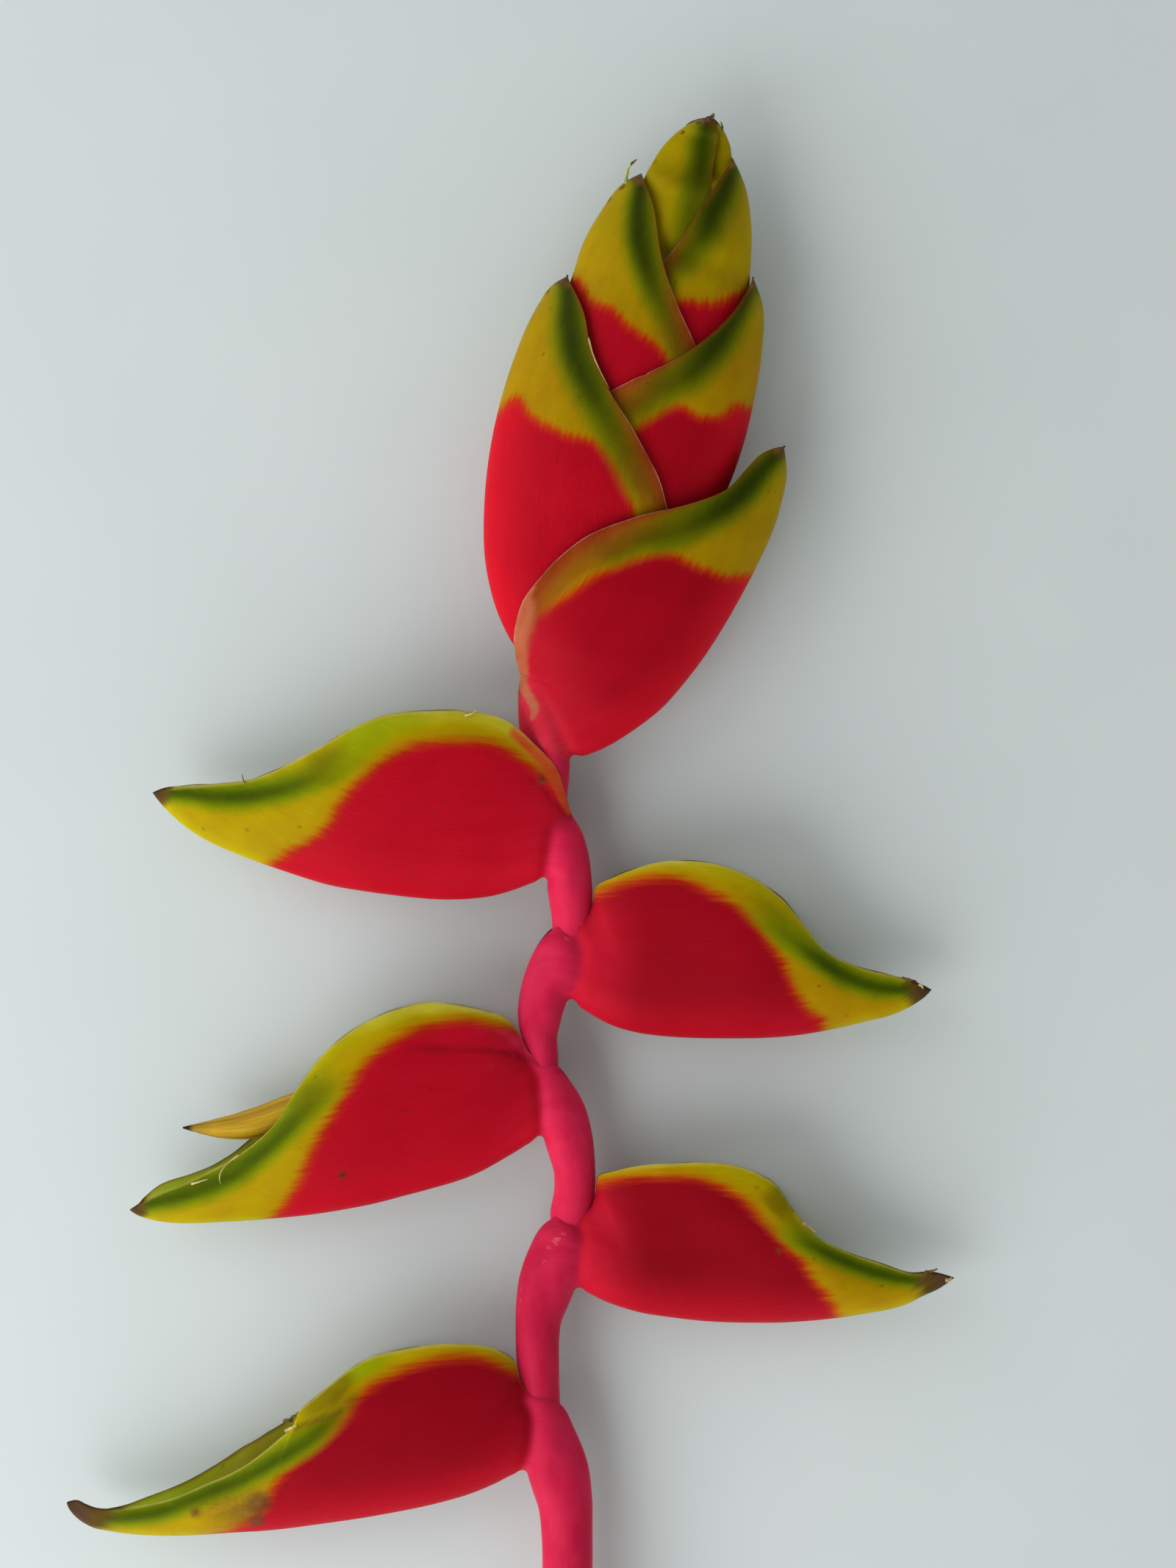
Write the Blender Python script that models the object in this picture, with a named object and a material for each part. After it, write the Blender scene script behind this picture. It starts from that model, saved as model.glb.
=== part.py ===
"""Cut inflorescence of a hanging heliconia, lying on its side on a flat surface.

A zigzag stem (the rachis) carries twelve boat-shaped bracts, alternately left and right. Five have
opened and hold flowers; seven are still folded over each other in a spike. Metres, +Z up.
Lengths and places are written in millimetres and scaled by MM. The plan is the flat XY drawing of the
stem and bracts; each bract is mirrored about a middle surface that lies a little above the table.
"""

import functools
import math

import bmesh
import bpy
import numpy as np

MM = 0.001
CLEARANCE = 0.3  # gap kept between pieces that touch
PLAN_CENTRE = (-16.6, -30.62)  # middle of the plan's outline, which becomes the object's origin

# Height of the middle surface above the table: the open bracts and the fatter spike both rest on z = 0.
OPEN_HEIGHT = 10.6
SPIKE_HEIGHT = 14.6
RISE_FROM_Y = -22.0
RISE_TO_Y = 46.0

# Stem: centreline and radius, from the cut end upwards (x, y, radius).
RACHIS = [
    (-4.5, -206, 5.6), (-4.6, -190, 5.4), (-4.6, -175, 5.3), (-4.7, -162, 5.3), (-5.6, -152, 5.3),
    (-8.2, -142, 5.2), (-10.7, -133, 4.9), (-11.0, -124, 4.7), (-10.6, -115, 4.8), (-8.3, -105, 4.9),
    (-5.2, -97, 4.8), (-3.3, -89, 4.6), (-3.3, -81, 4.6), (-4.8, -72, 4.7), (-8.0, -64, 4.6),
    (-10.8, -57, 4.2), (-11.0, -50, 4.2), (-9.8, -42, 4.6), (-6.6, -35, 4.5), (-3.9, -28, 4.4),
    (-3.9, -20, 4.5), (-5.2, -12, 4.5), (-7.4, -5, 4.2), (-8.6, 2, 4.0), (-9.0, 8, 4.0),
    (-7.0, 16, 3.8), (-5.2, 23, 3.6), (-3.0, 31, 3.3), (-0.6, 39, 3.0), (1.2, 47, 2.7),
    (3.6, 55, 2.3), (5.0, 62, 1.9),
]
RACHIS_STATIONS = 58
RACHIS_SIDES_RESOLUTION = 4

# Open bracts: plan outlines of the keel (closed edge) and the margin (open edge), stem to tip, in mm.
# depth: (share of the length, half depth); splay: (share of the length, ellipse radius over rib length).
OPEN_DEPTH = [(0, 6.9), (0.1, 7.6), (0.22, 9.6), (0.38, 10.9), (0.55, 9.6), (0.72, 6.6), (0.88, 4.0),
              (1, 1.6)]
OPEN_SPLAY = [(0, 0.72), (0.12, 0.66), (0.35, 0.6), (0.6, 0.62), (0.85, 0.7), (1, 0.75)]
OPEN_BRACTS = {
    "bract_01": {
        "keel": [(-12, -150), (-17, -151), (-24, -153.8), (-36, -157.3), (-52, -160), (-70, -162.6),
                 (-88, -163.6), (-100, -163), (-108, -161.5), (-113, -156.5)],
        "margin": [(-9, -135), (-14, -131), (-17, -124), (-26, -122), (-36, -121.6), (-46, -124.3),
                   (-55, -129.5), (-62, -135.8), (-70, -142), (-80, -147.6), (-92, -153.5), (-104, -157),
                   (-113, -156.5)],
    },
    "bract_02": {
        "keel": [(-4.5, -109.5), (1, -111.5), (8, -114.6), (20, -116.3), (35, -117.3), (50, -116.7),
                 (62, -115.2), (70, -113), (76, -110.2), (79.8, -107)],
        "margin": [(-4.5, -94.5), (0.5, -91), (3, -85.2), (10, -83.5), (20, -82.4), (30, -83), (38, -85.5),
                   (44, -91.5), (51, -98.8), (60, -104), (70, -107.2), (76, -106), (79.8, -107)],
    },
    "bract_03": {
        "keel": [(-8.5, -77), (-14, -79), (-25, -85), (-42, -89.5), (-58, -93.2), (-74, -95), (-88, -95.4),
                 (-95, -94.2), (-99.5, -92.3)],
        "margin": [(-10, -61), (-14, -58), (-17, -52), (-25, -48.7), (-34, -47.5), (-44, -50), (-54, -55.8),
                   (-61, -63), (-67, -71.5), (-74, -78.5), (-83, -84), (-92, -88.3), (-99.5, -92.3)],
    },
    "bract_04": {
        "keel": [(-6, -46.5), (-1, -49), (6, -52.8), (17, -55.2), (32, -55.5), (47, -54.3), (60, -51.7),
                 (69, -48.5), (74.5, -45)],
        "margin": [(-4.5, -32), (0.5, -28), (2.5, -21.8), (9, -18.6), (18, -16.6), (28, -17.5), (37, -21.2),
                   (45, -27), (51, -35), (60, -40.2), (68, -42.5), (74.5, -45)],
    },
    "bract_05": {
        "keel": [(-7.5, -20), (-14, -22), (-25, -24.9), (-38, -24.8), (-52, -22.6), (-66, -18.2),
                 (-80, -12.5), (-89, -7), (-94.5, -1.8)],
        "margin": [(-6, -7.5), (-6.5, -1), (-10, 6), (-17, 13.2), (-27, 16), (-37, 15.8), (-48, 13),
                   (-58, 7.4), (-68, 2.2), (-78, 0.2), (-87, -0.2), (-94.5, -1.8)],
    },
}
OPEN_ROWS = 15
OPEN_ACROSS = 6
OPEN_WALL = 1.3

# Folded bracts of the spike, outermost first: keel and margin from tip to base; "side" is the keel's side.
SPIKE_BRACTS = {
    "bract_06": {
        "side": "right", "base": 3.0,
        "keel": [(42.6, 73.6), (43.4, 68), (42, 60.5), (36, 46), (30, 35), (23, 24.6), (14, 14.6), (5, 8.6),
                 (-1, 6.3), (-3.6, 5.9)],
        "margin": [(42.6, 73.6), (38.5, 72.3), (34, 68), (30, 64), (24, 61.5), (10, 58), (0, 54), (-8, 47.6),
                   (-14, 40), (-16.2, 32), (-15, 24), (-14.7, 16), (-14.2, 9)],
    },
    "bract_07": {
        "side": "left", "base": 11.0,
        "keel": [(-5, 110.8), (-8, 108.2), (-11, 104), (-16.5, 91.5), (-20.6, 77), (-22.5, 62),
                 (-22, 46), (-18.4, 34), (-13.4, 25.5), (-11, 18)],
        "margin": [(-5, 110.8), (-1.4, 104), (1.2, 93), (6.5, 82.5), (13, 71.5), (17.4, 60), (17, 48),
                   (11, 36), (4, 25), (-0.4, 15)],
    },
    "bract_08": {
        "side": "right", "base": 18.5,
        "keel": [(36.4, 110.4), (37.8, 105), (37.9, 94), (36, 82.5), (32, 68.5), (27, 57), (20, 46),
                 (12, 36), (4.2, 27), (-0.3, 22)],
        "margin": [(36.4, 110.4), (32, 103), (27, 98), (19, 92.4), (12, 89), (3, 84.4), (-6, 76),
                   (-11.5, 63), (-12.5, 50), (-11.2, 38), (-8.6, 25)],
    },
    "bract_09": {
        "side": "left", "base": 26.0,
        "keel": [(11.6, 132.9), (7.4, 130.6), (3, 125), (-1.4, 117), (-3.3, 110.8), (-6.2, 103), (-11.8, 89),
                 (-15.5, 74), (-16, 60), (-12.8, 46), (-7.4, 36.5), (-5.6, 31.5)],
        "margin": [(11.6, 132.9), (14.1, 126), (16, 114.5), (20, 103), (24, 94), (26.5, 82), (24, 66),
                   (18, 54), (10, 42), (2.2, 29.5)],
    },
    "bract_10": {
        "side": "right", "base": 34.0,
        "keel": [(32, 136.9), (34.2, 130), (35.6, 120), (35.3, 111), (34.2, 97), (31.2, 83), (27, 70),
                 (20.5, 57), (12, 46), (4.0, 38.2)],
        "margin": [(32, 136.9), (27.6, 130), (22, 121.4), (15.5, 112), (5, 99), (-3, 86), (-8, 72),
                   (-8.4, 58), (-5.4, 47), (-3.6, 40)],
    },
    "bract_11": {
        "side": "left", "base": 42.0,
        "keel": [(27, 144.8), (20.6, 142.3), (15.5, 136.6), (13.2, 132.6), (9.4, 124.4), (3, 110), (-3, 95.5),
                 (-7.2, 80), (-7, 66), (-2.6, 54), (-0.8, 47.6)],
        "margin": [(27, 144.8), (27.8, 139), (29, 131), (31, 121), (31.4, 108), (28.5, 92), (23, 76),
                   (15.5, 62), (4.6, 45.8)],
    },
    "bract_12": {
        "side": "right", "base": 49.0,
        "keel": [(29.4, 143.2), (30.6, 139.2), (32, 131), (32.8, 119), (31.4, 105), (28.2, 91), (22.4, 77),
                 (15, 65), (6.8, 53.4)],
        "margin": [(29.4, 143.2), (24.5, 135.6), (18.5, 125), (11, 112), (4, 98), (-0.6, 84), (-2.4, 71),
                   (-1, 60), (0.6, 55)],
    },
}
SPIKE_ORIGIN = np.array([-8.0, 6.0])
SPIKE_LEAN = math.radians(14.7)  # of the spike's axis, from +Y towards +X
# Half depth of the folded spike at each level along its axis.
SPIKE_DEPTH = [(0, 5.9), (6, 6.7), (14, 9.4), (24, 12.4), (38, 14.4), (54, 14.9), (72, 14.4), (90, 12.9),
               (106, 10.9), (120, 8.6), (131, 6.4), (139, 4.4), (146, 1.2)]
LAYER_PITCH = 1.62  # from one folded bract's outside to the next one's
SPIKE_WALL = 0.6
# How far a keel stays inside that of the bract folded over it, by level above that bract's tip.
TUCK = [(-20, 3.4), (-8, 3.0), (-3, 2.8), (0, 2.6), (12, 0.9), (28, 0), (34, -20)]
SPIKE_ROWS = 15
SPIKE_ACROSS = 8

# Flowers inside the open bracts: (x, y, height above the middle surface) from the stem outwards, and the
# thickest radius. The first of bract 3 shows beyond the margin.
FLOWERS = {
    "flower_1a": ([(-16.3, -132, 0), (-30, -129.8, 0.4), (-44, -131.5, 0), (-57, -138, 0)], 2.7),
    "flower_1b": ([(-15, -136, 2.2), (-30, -138, 4.9), (-46, -141, 4.6), (-62, -147, 3)], 2.5),
    "flower_1c": ([(-15, -136.5, -2.2), (-30, -138.5, -4.9), (-44, -141, -4.6), (-58, -146, -3)], 2.4),
    "flower_2a": ([(1.3, -94.5, 0), (16, -90.5, 0.4), (30, -91, 0), (43, -98, 0)], 2.7),
    "flower_2b": ([(-0.3, -98, 2.2), (16, -99.5, 4.9), (32, -101.5, 4.6), (47, -107, 3)], 2.5),
    "flower_2c": ([(-0.4, -98.5, -2.2), (16, -100, -4.9), (30, -101.5, -4.6), (44, -106, -3)], 2.4),
    "flower_3a": ([(-14.2, -64, 0), (-32, -60.5, 0.3), (-50, -65, 0), (-65, -71.2, 0), (-76, -74.4, 0),
                   (-88.2, -74.8, 0)], 3.5),
    "flower_3b": ([(-13.6, -69.5, 3.4), (-28, -71.5, 4.9), (-44, -75, 4.6), (-58, -82, 3)], 2.5),
    "flower_3c": ([(-13.6, -70, -3.4), (-28, -72, -4.9), (-42, -75.5, -4.6), (-55, -81, -3)], 2.4),
    "flower_4a": ([(0.8, -31, 0), (15, -25.5, 0.4), (29, -25.5, 0), (42, -33, 0)], 2.7),
    "flower_4b": ([(-1.2, -35, 2), (15, -35, 4.9), (31, -36.5, 4.6), (46, -42.5, 3)], 2.5),
    "flower_4c": ([(-1.3, -35.5, -2), (15, -35.5, -4.9), (29, -36.5, -4.6), (43, -41.5, -3)], 2.4),
    "flower_5a": ([(-13.2, -4.5, 0), (-27, 4.5, 0.4), (-41, 5.5, 0), (-54, -0.5, 0)], 2.7),
    "flower_5b": ([(-11, -9, 2.6), (-27, -5.5, 4.9), (-43, -5.5, 4.6), (-59, -10.5, 3)], 2.5),
    "flower_5c": ([(-10.8, -9.5, -2.6), (-27, -6, -4.9), (-41, -6, -4.6), (-56, -10, -3)], 2.4),
}
FLOWER_SWELL = [(0, 0.4), (0.14, 0.62), (0.45, 0.95), (0.7, 1), (0.88, 0.62), (1, 0)]
FLOWER_ROWS = 9
FLOWER_SIDES = 8


def smoothstep(low, high, value):
    share = np.clip((value - low) / (high - low), 0, 1)
    return share * share * (3 - 2 * share)


def middle_height(y):
    """Height of the middle surface above the table, in mm, at a plan y."""
    return OPEN_HEIGHT + (SPIKE_HEIGHT - OPEN_HEIGHT) * smoothstep(RISE_FROM_Y, RISE_TO_Y, y)


def curve_through(points, steps=16):
    """Dense smooth line through hand-set points: cubic spans with chord-weighted tangents."""
    points = np.array(points, float)
    chord = np.linalg.norm(np.diff(points, axis=0), axis=1)
    slope = np.diff(points, axis=0) / chord[:, None]
    tangent = np.empty_like(points)
    weighed = slope[:-1] * chord[1:, None] + slope[1:] * chord[:-1, None]
    tangent[1:-1] = weighed / (chord[:-1] + chord[1:])[:, None]
    tangent[0] = 1.5 * slope[0] - 0.5 * tangent[1]
    tangent[-1] = 1.5 * slope[-1] - 0.5 * tangent[-2]
    line = []
    for i, length in enumerate(chord):
        s = np.linspace(0, 1, steps, endpoint=False)[:, None]
        line.append(
            (2 * s**3 - 3 * s**2 + 1) * points[i] + (s**3 - 2 * s**2 + s) * length * tangent[i]
            + (3 * s**2 - 2 * s**3) * points[i + 1] + (s**3 - s**2) * length * tangent[i + 1]
        )
    return np.vstack([*line, points[-1:]])


def evenly(line, shares):
    """Points of a dense line at these shares of its length."""
    along = np.concatenate([[0], np.cumsum(np.linalg.norm(np.diff(line, axis=0), axis=1))])
    at = np.array(shares) * along[-1]
    return np.stack([np.interp(at, along, line[:, k]) for k in range(line.shape[1])], axis=1)


def table(pairs, at):
    """Value at a place, read from (place, value) pairs."""
    places, values = zip(*pairs)
    return np.interp(at, places, values)


def section(keel, margin, radius, depth, across, inset=0.0):
    """Chain of points of one rib: near margin, keel, far margin. In depth the rib is part of an ellipse
    that starts at the keel; inset moves the whole chain inwards, square to the surface."""
    rib = margin - keel
    length = np.linalg.norm(rib)
    radius = max(radius, length / 2 + 0.01)
    last_angle = math.acos(max(-1.0, 1 - length / radius))
    angles = np.linspace(last_angle, 0, across + 1)
    square = np.column_stack([-np.cos(angles) / radius, np.sin(angles) / depth])
    square /= np.linalg.norm(square, axis=1)[:, None]
    along = radius * (1 - np.cos(angles)) - inset * square[:, 0]
    rise = depth * np.sin(angles) - inset * square[:, 1]
    plan = keel + (rib / length) * along[:, None]
    near = np.column_stack([plan, rise])
    far = np.column_stack([plan, -rise])[-2::-1]
    return np.vstack([near, far])


def placed(chain):
    """Lifts a section's points to the middle surface; what would press into the table lies flat on it."""
    chain = chain.copy()
    chain[:, 2] = np.maximum(chain[:, 2] + middle_height(chain[:, 1]), 0)
    return chain * MM


def shell_object(name, rows, across, material):
    """Boat-shaped shell from rows of (keel, margin, ellipse radius, half depth, wall), base to tip."""
    points, faces = [], []

    def add(chain):
        start = len(points)
        points.extend(placed(chain))
        return list(range(start, start + len(chain)))

    outer, inner = [], []
    hollow = True
    for keel, margin, radius, depth, wall in rows[:-1]:
        length = np.linalg.norm(margin - keel)
        outer.append(add(section(keel, margin, radius, depth, across)))
        hollow = hollow and length > 2.5 * wall and depth > 1.8 * wall
        if hollow:
            inner.append(add(section(keel, margin, radius, depth, across, inset=wall)))
    tip = add(np.array([[*rows[-1][0], 0.0]]))[0]
    last = len(inner) - 1
    for one, two in zip(outer, outer[1:]):
        faces += [(one[j], one[j + 1], two[j + 1], two[j]) for j in range(2 * across)]
    for one, two in zip(inner, inner[1:]):
        faces += [(one[j + 1], one[j], two[j], two[j + 1]) for j in range(2 * across)]
    for i in range(last):
        faces.append((outer[i][0], outer[i + 1][0], inner[i + 1][0], inner[i][0]))
        faces.append((outer[i + 1][-1], outer[i][-1], inner[i][-1], inner[i + 1][-1]))
    faces += [(outer[0][j + 1], outer[0][j], inner[0][j], inner[0][j + 1]) for j in range(2 * across)]
    faces.append((outer[last][-1], *reversed(inner[last]), outer[last][0]))
    for one, two in zip(outer[last:], outer[last + 1:]):
        faces.append((one[0], two[0], two[-1], one[-1]))
    faces += [(outer[-1][j], outer[-1][j + 1], tip) for j in range(2 * across)]
    faces.append((outer[-1][0], tip, outer[-1][-1]))
    return mesh_object(name, points, faces, material)


def mesh_object(name, points, faces, material):
    """Closed smooth-shaded body, faces turned outward."""
    shaped = bmesh.new()
    corners = [shaped.verts.new(p) for p in points]
    for face in faces:
        shaped.faces.new([corners[i] for i in face])
    bmesh.ops.recalc_face_normals(shaped, faces=shaped.faces[:])
    mesh = bpy.data.meshes.new(name)
    shaped.to_mesh(mesh)
    shaped.free()
    mesh.shade_smooth()
    mesh.set_sharp_from_angle(angle=math.radians(50))
    mesh.materials.append(material)
    made = bpy.data.objects.new(name, mesh)
    bpy.context.scene.collection.objects.link(made)
    return made


def open_rows(shape):
    """Rows of an open bract: ribs join equal shares of keel and margin."""
    shares = np.linspace(0, 1, OPEN_ROWS)
    keel = evenly(curve_through(shape["keel"]), shares)
    margin = evenly(curve_through(shape["margin"]), shares)
    rows = []
    for share, k, m in zip(shares, keel, margin):
        wall = OPEN_WALL * (1 - 0.45 * share)
        rows.append((k, m, table(OPEN_SPLAY, share) * np.linalg.norm(m - k), table(OPEN_DEPTH, share), wall))
    return rows


def spike_place(points):
    """Plan points as (level along the spike's axis, distance to its right)."""
    offset = np.array(points, float) - SPIKE_ORIGIN
    along = np.array([math.sin(SPIKE_LEAN), math.cos(SPIKE_LEAN)])
    right = np.array([math.cos(SPIKE_LEAN), -math.sin(SPIKE_LEAN)])
    return np.column_stack([offset @ along, offset @ right])


def plan_place(level, right):
    """Plan point at a level along the spike's axis and a distance to its right."""
    return SPIKE_ORIGIN + np.array([
        level * math.sin(SPIKE_LEAN) + right * math.cos(SPIKE_LEAN),
        level * math.cos(SPIKE_LEAN) - right * math.sin(SPIKE_LEAN),
    ])


@functools.lru_cache(maxsize=None)
def edge_line(name, edge):
    """An edge of a folded bract as rising levels and distances to the right of the axis."""
    line = spike_place(curve_through(SPIKE_BRACTS[name][edge]))[::-1]
    return np.maximum.accumulate(line[:, 0]), line[:, 1]


def edge_at(name, edge, level):
    """Distance to the right of the axis of an edge at a level; past its ends it keeps its last value."""
    return float(np.interp(level, *edge_line(name, edge)))


def tip_level(name):
    return float(edge_line(name, "keel")[0][-1])


def outward_of(name):
    """+1 when the keel lies to the right, -1 when it lies to the left."""
    return 1 if SPIKE_BRACTS[name]["side"] == "right" else -1


@functools.lru_cache(maxsize=None)
def keel_at(name, level):
    """Keel of a folded bract at a level, held inside the bract of its own side that is folded over it."""
    order = list(SPIKE_BRACTS)
    index, outward = order.index(name), outward_of(name)
    keel = edge_at(name, "keel", level)
    if index >= 3:
        over = order[index - 2]
        inset = table(TUCK, level - tip_level(over))
        keel = outward * min(outward * keel, outward * (keel_at(over, level) - outward * inset))
    return keel


@functools.lru_cache(maxsize=None)
def fold_at(name, level):
    """A folded bract's ellipse at a level: where its keel is, where it would close, and its half depth."""
    order = list(SPIKE_BRACTS)
    index, outward = order.index(name), outward_of(name)
    keel = keel_at(name, level)
    margin = edge_at(name, "margin", level)
    far = margin - outward * 1.5
    if index + 1 < len(order):
        covered = keel_at(order[index + 1], level) - outward * LAYER_PITCH
        far = -outward * max(-outward * far, -outward * covered)
    depth = float(table(SPIKE_DEPTH, level))
    if index == 0:  # the outermost one's tip stands free of the spike
        free = smoothstep(56, 76, level)
        depth *= 1 - 0.6 * free
        far += (margin - outward * 0.35 * abs(keel - margin) - far) * free
    for over in order[:index]:
        depth = min(depth, covered_depth(over, name, level, keel, margin, far))
    centre, snug = stem_at(level)
    loose = smoothstep(-1, 10, level - SPIKE_BRACTS[name]["base"])
    keel = centre + outward * snug + (keel - centre - outward * snug) * loose
    far = centre - outward * snug + (far - centre + outward * snug) * loose
    return keel, far, snug + (depth - snug) * loose


def covered_depth(over, name, level, keel, margin, far):
    """Half depth left to a bract by one folded over it; free where the two no longer overlap."""
    outward = outward_of(name)
    over_margin = edge_at(over, "margin", level)
    if outward_of(over) == outward:
        overlap = outward * (keel - over_margin)
    else:
        overlap = outward * (over_margin - margin)
    cover = smoothstep(-8, -1, overlap) * (1 - smoothstep(tip_level(over), tip_level(over) + 6, level))
    if over == "bract_06":
        cover *= 1 - smoothstep(52, 62, level)
    free = float(table(SPIKE_DEPTH, level))
    if cover == 0:
        return free
    over_keel, over_far, over_depth = fold_at(over, min(level, tip_level(over)))
    over_radius = abs(over_far - over_keel) / 2 - LAYER_PITCH * 0.85
    shift = (keel + far - over_keel - over_far) / 2
    turn = np.linspace(-0.97, 0.97, 33)
    place = shift + abs(keel - far) / 2 * turn
    room = (1 - (place / over_radius) ** 2) / (1 - turn**2)
    place += (over_keel + over_far) / 2
    low, high = sorted((keel, margin))
    over_low, over_high = sorted((over_keel, over_margin))
    shared = (place > max(low, over_low) - 7) & (place < min(high, over_high) + 7)
    if not shared.any():
        return free
    nested = (over_depth - LAYER_PITCH) * math.sqrt(min(1, max(room[shared].min(), 0.1)))
    return free + (min(free, nested) - free) * cover


def stem_at(level):
    """Where the stem passes inside the spike at a level, and the radius that clears it by a wall."""
    stem = evenly(curve_through(RACHIS), np.linspace(0, 1, 400))
    places = spike_place(stem[:, :2])
    centre = np.interp(level, places[:, 0], places[:, 1])
    return centre, np.interp(level, places[:, 0], stem[:, 2] + CLEARANCE + SPIKE_WALL + 0.2)


def spike_rows(name):
    """Rows of a folded bract, square to the spike's axis, so that each bract nests inside the last."""
    outward, shape = outward_of(name), SPIKE_BRACTS[name]
    reach = tip_level(name) - shape["base"]
    rows = []
    for share in 1 - (1 - np.linspace(0, 1, SPIKE_ROWS)) ** 1.6:
        level = shape["base"] + reach * share
        keel, far, depth = fold_at(name, level)
        margin = outward * max(outward * edge_at(name, "margin", level), outward * far + 0.5)
        wall = SPIKE_WALL * (1 - 0.35 * share)
        rows.append((plan_place(level, keel), plan_place(level, margin), abs(far - keel) / 2, depth, wall))
    return rows


def tube_object(name, stations, material, extra=0.0):
    """Round stem along a smooth line through (x, y, radius) stations, as a bevelled curve."""
    line = evenly(curve_through(stations), np.linspace(0, 1, RACHIS_STATIONS))
    curve = bpy.data.curves.new(name, "CURVE")
    curve.dimensions = "3D"
    curve.bevel_depth = MM
    curve.bevel_resolution = RACHIS_SIDES_RESOLUTION
    curve.use_fill_caps = True
    spline = curve.splines.new("POLY")
    spline.points.add(len(line) - 1)
    for point, (x, y, radius) in zip(spline.points, line):
        point.co = (x * MM, y * MM, float(middle_height(y)) * MM, 1)
        point.radius = radius + extra
    curve.materials.append(material)
    made = bpy.data.objects.new(name, curve)
    bpy.context.scene.collection.objects.link(made)
    return made


def flower_object(name, path, radius, material):
    """Closed flower: a soft-pointed spindle along a curved line."""
    line = evenly(curve_through(path), np.linspace(0, 1, FLOWER_ROWS))
    line[:, 2] += middle_height(line[:, 1])
    points, faces = [], []
    for i, share in enumerate(np.linspace(0, 1, FLOWER_ROWS)[:-1]):
        ahead = line[i + 1] - line[max(i - 1, 0)]
        ahead /= np.linalg.norm(ahead)
        side = np.cross(ahead, (0, 0, 1))
        side /= np.linalg.norm(side)
        up = np.cross(side, ahead)
        for turn in np.linspace(0, 2 * math.pi, FLOWER_SIDES, endpoint=False):
            ring = side * math.cos(turn) + up * math.sin(turn)
            points.append((line[i] + ring * radius * table(FLOWER_SWELL, share)) * MM)
    points.append(line[-1] * MM)
    for start in range(0, (FLOWER_ROWS - 2) * FLOWER_SIDES, FLOWER_SIDES):
        for j in range(FLOWER_SIDES):
            k = (j + 1) % FLOWER_SIDES
            faces.append((start + j, start + k, start + FLOWER_SIDES + k, start + FLOWER_SIDES + j))
    top = (FLOWER_ROWS - 2) * FLOWER_SIDES
    faces += [(top + j, top + (j + 1) % FLOWER_SIDES, len(points) - 1) for j in range(FLOWER_SIDES)]
    faces.append(tuple(range(FLOWER_SIDES - 1, -1, -1)))
    return mesh_object(name, points, faces, material)


def finish(name, colour, roughness):
    """Plain waxy plant surface."""
    material = bpy.data.materials.new(name)
    material.use_nodes = True
    shader = material.node_tree.nodes["Principled BSDF"]
    shader.inputs["Base Color"].default_value = (*colour, 1)
    shader.inputs["Roughness"].default_value = roughness
    return material


def clear_scene():
    for thing in list(bpy.data.objects):
        bpy.data.objects.remove(thing)


def stem_cutter(stem):
    """The stem grown by the clearance, as a hidden mesh that trims the bracts that clasp it."""
    grown = tube_object("stem_clearance", RACHIS, stem.data.materials[0], extra=CLEARANCE)
    mesh = bpy.data.meshes.new_from_object(grown.evaluated_get(bpy.context.evaluated_depsgraph_get()))
    bpy.data.objects.remove(grown)
    cutter = bpy.data.objects.new("stem_clearance", mesh)
    bpy.context.scene.collection.objects.link(cutter)
    cutter.hide_render = True
    cutter.display_type = "WIRE"
    return cutter


def centre_on_origin():
    """Hangs every piece on one empty that brings the middle of the outline over the origin."""
    whole = bpy.data.objects.new("whole_flower", None)
    bpy.context.scene.collection.objects.link(whole)
    for piece in bpy.context.scene.objects:
        if piece is not whole:
            piece.parent = whole
    whole.location = (-PLAN_CENTRE[0] * MM, -PLAN_CENTRE[1] * MM, 0)


def main():
    clear_scene()
    red = finish("open_bract", (0.62, 0.01, 0.02), 0.42)
    deep_red = finish("folded_bract", (0.50, 0.03, 0.01), 0.42)
    yellow = finish("flower", (0.62, 0.42, 0.04), 0.5)
    pink = finish("stem", (0.66, 0.03, 0.09), 0.45)
    rachis = tube_object("rachis", RACHIS, pink)
    cutter = stem_cutter(rachis)
    bracts = [shell_object(n, open_rows(s), OPEN_ACROSS, red) for n, s in OPEN_BRACTS.items()]
    for name in SPIKE_BRACTS:
        shell_object(name, spike_rows(name), SPIKE_ACROSS, deep_red)
    for name, (path, radius) in FLOWERS.items():
        flower_object(name, path, radius, yellow)
    for bract in bracts:
        trim = bract.modifiers.new("clear_of_stem", "BOOLEAN")
        trim.operation = "DIFFERENCE"
        trim.object = cutter
    centre_on_origin()


main()
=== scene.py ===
import functools
import math

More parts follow.
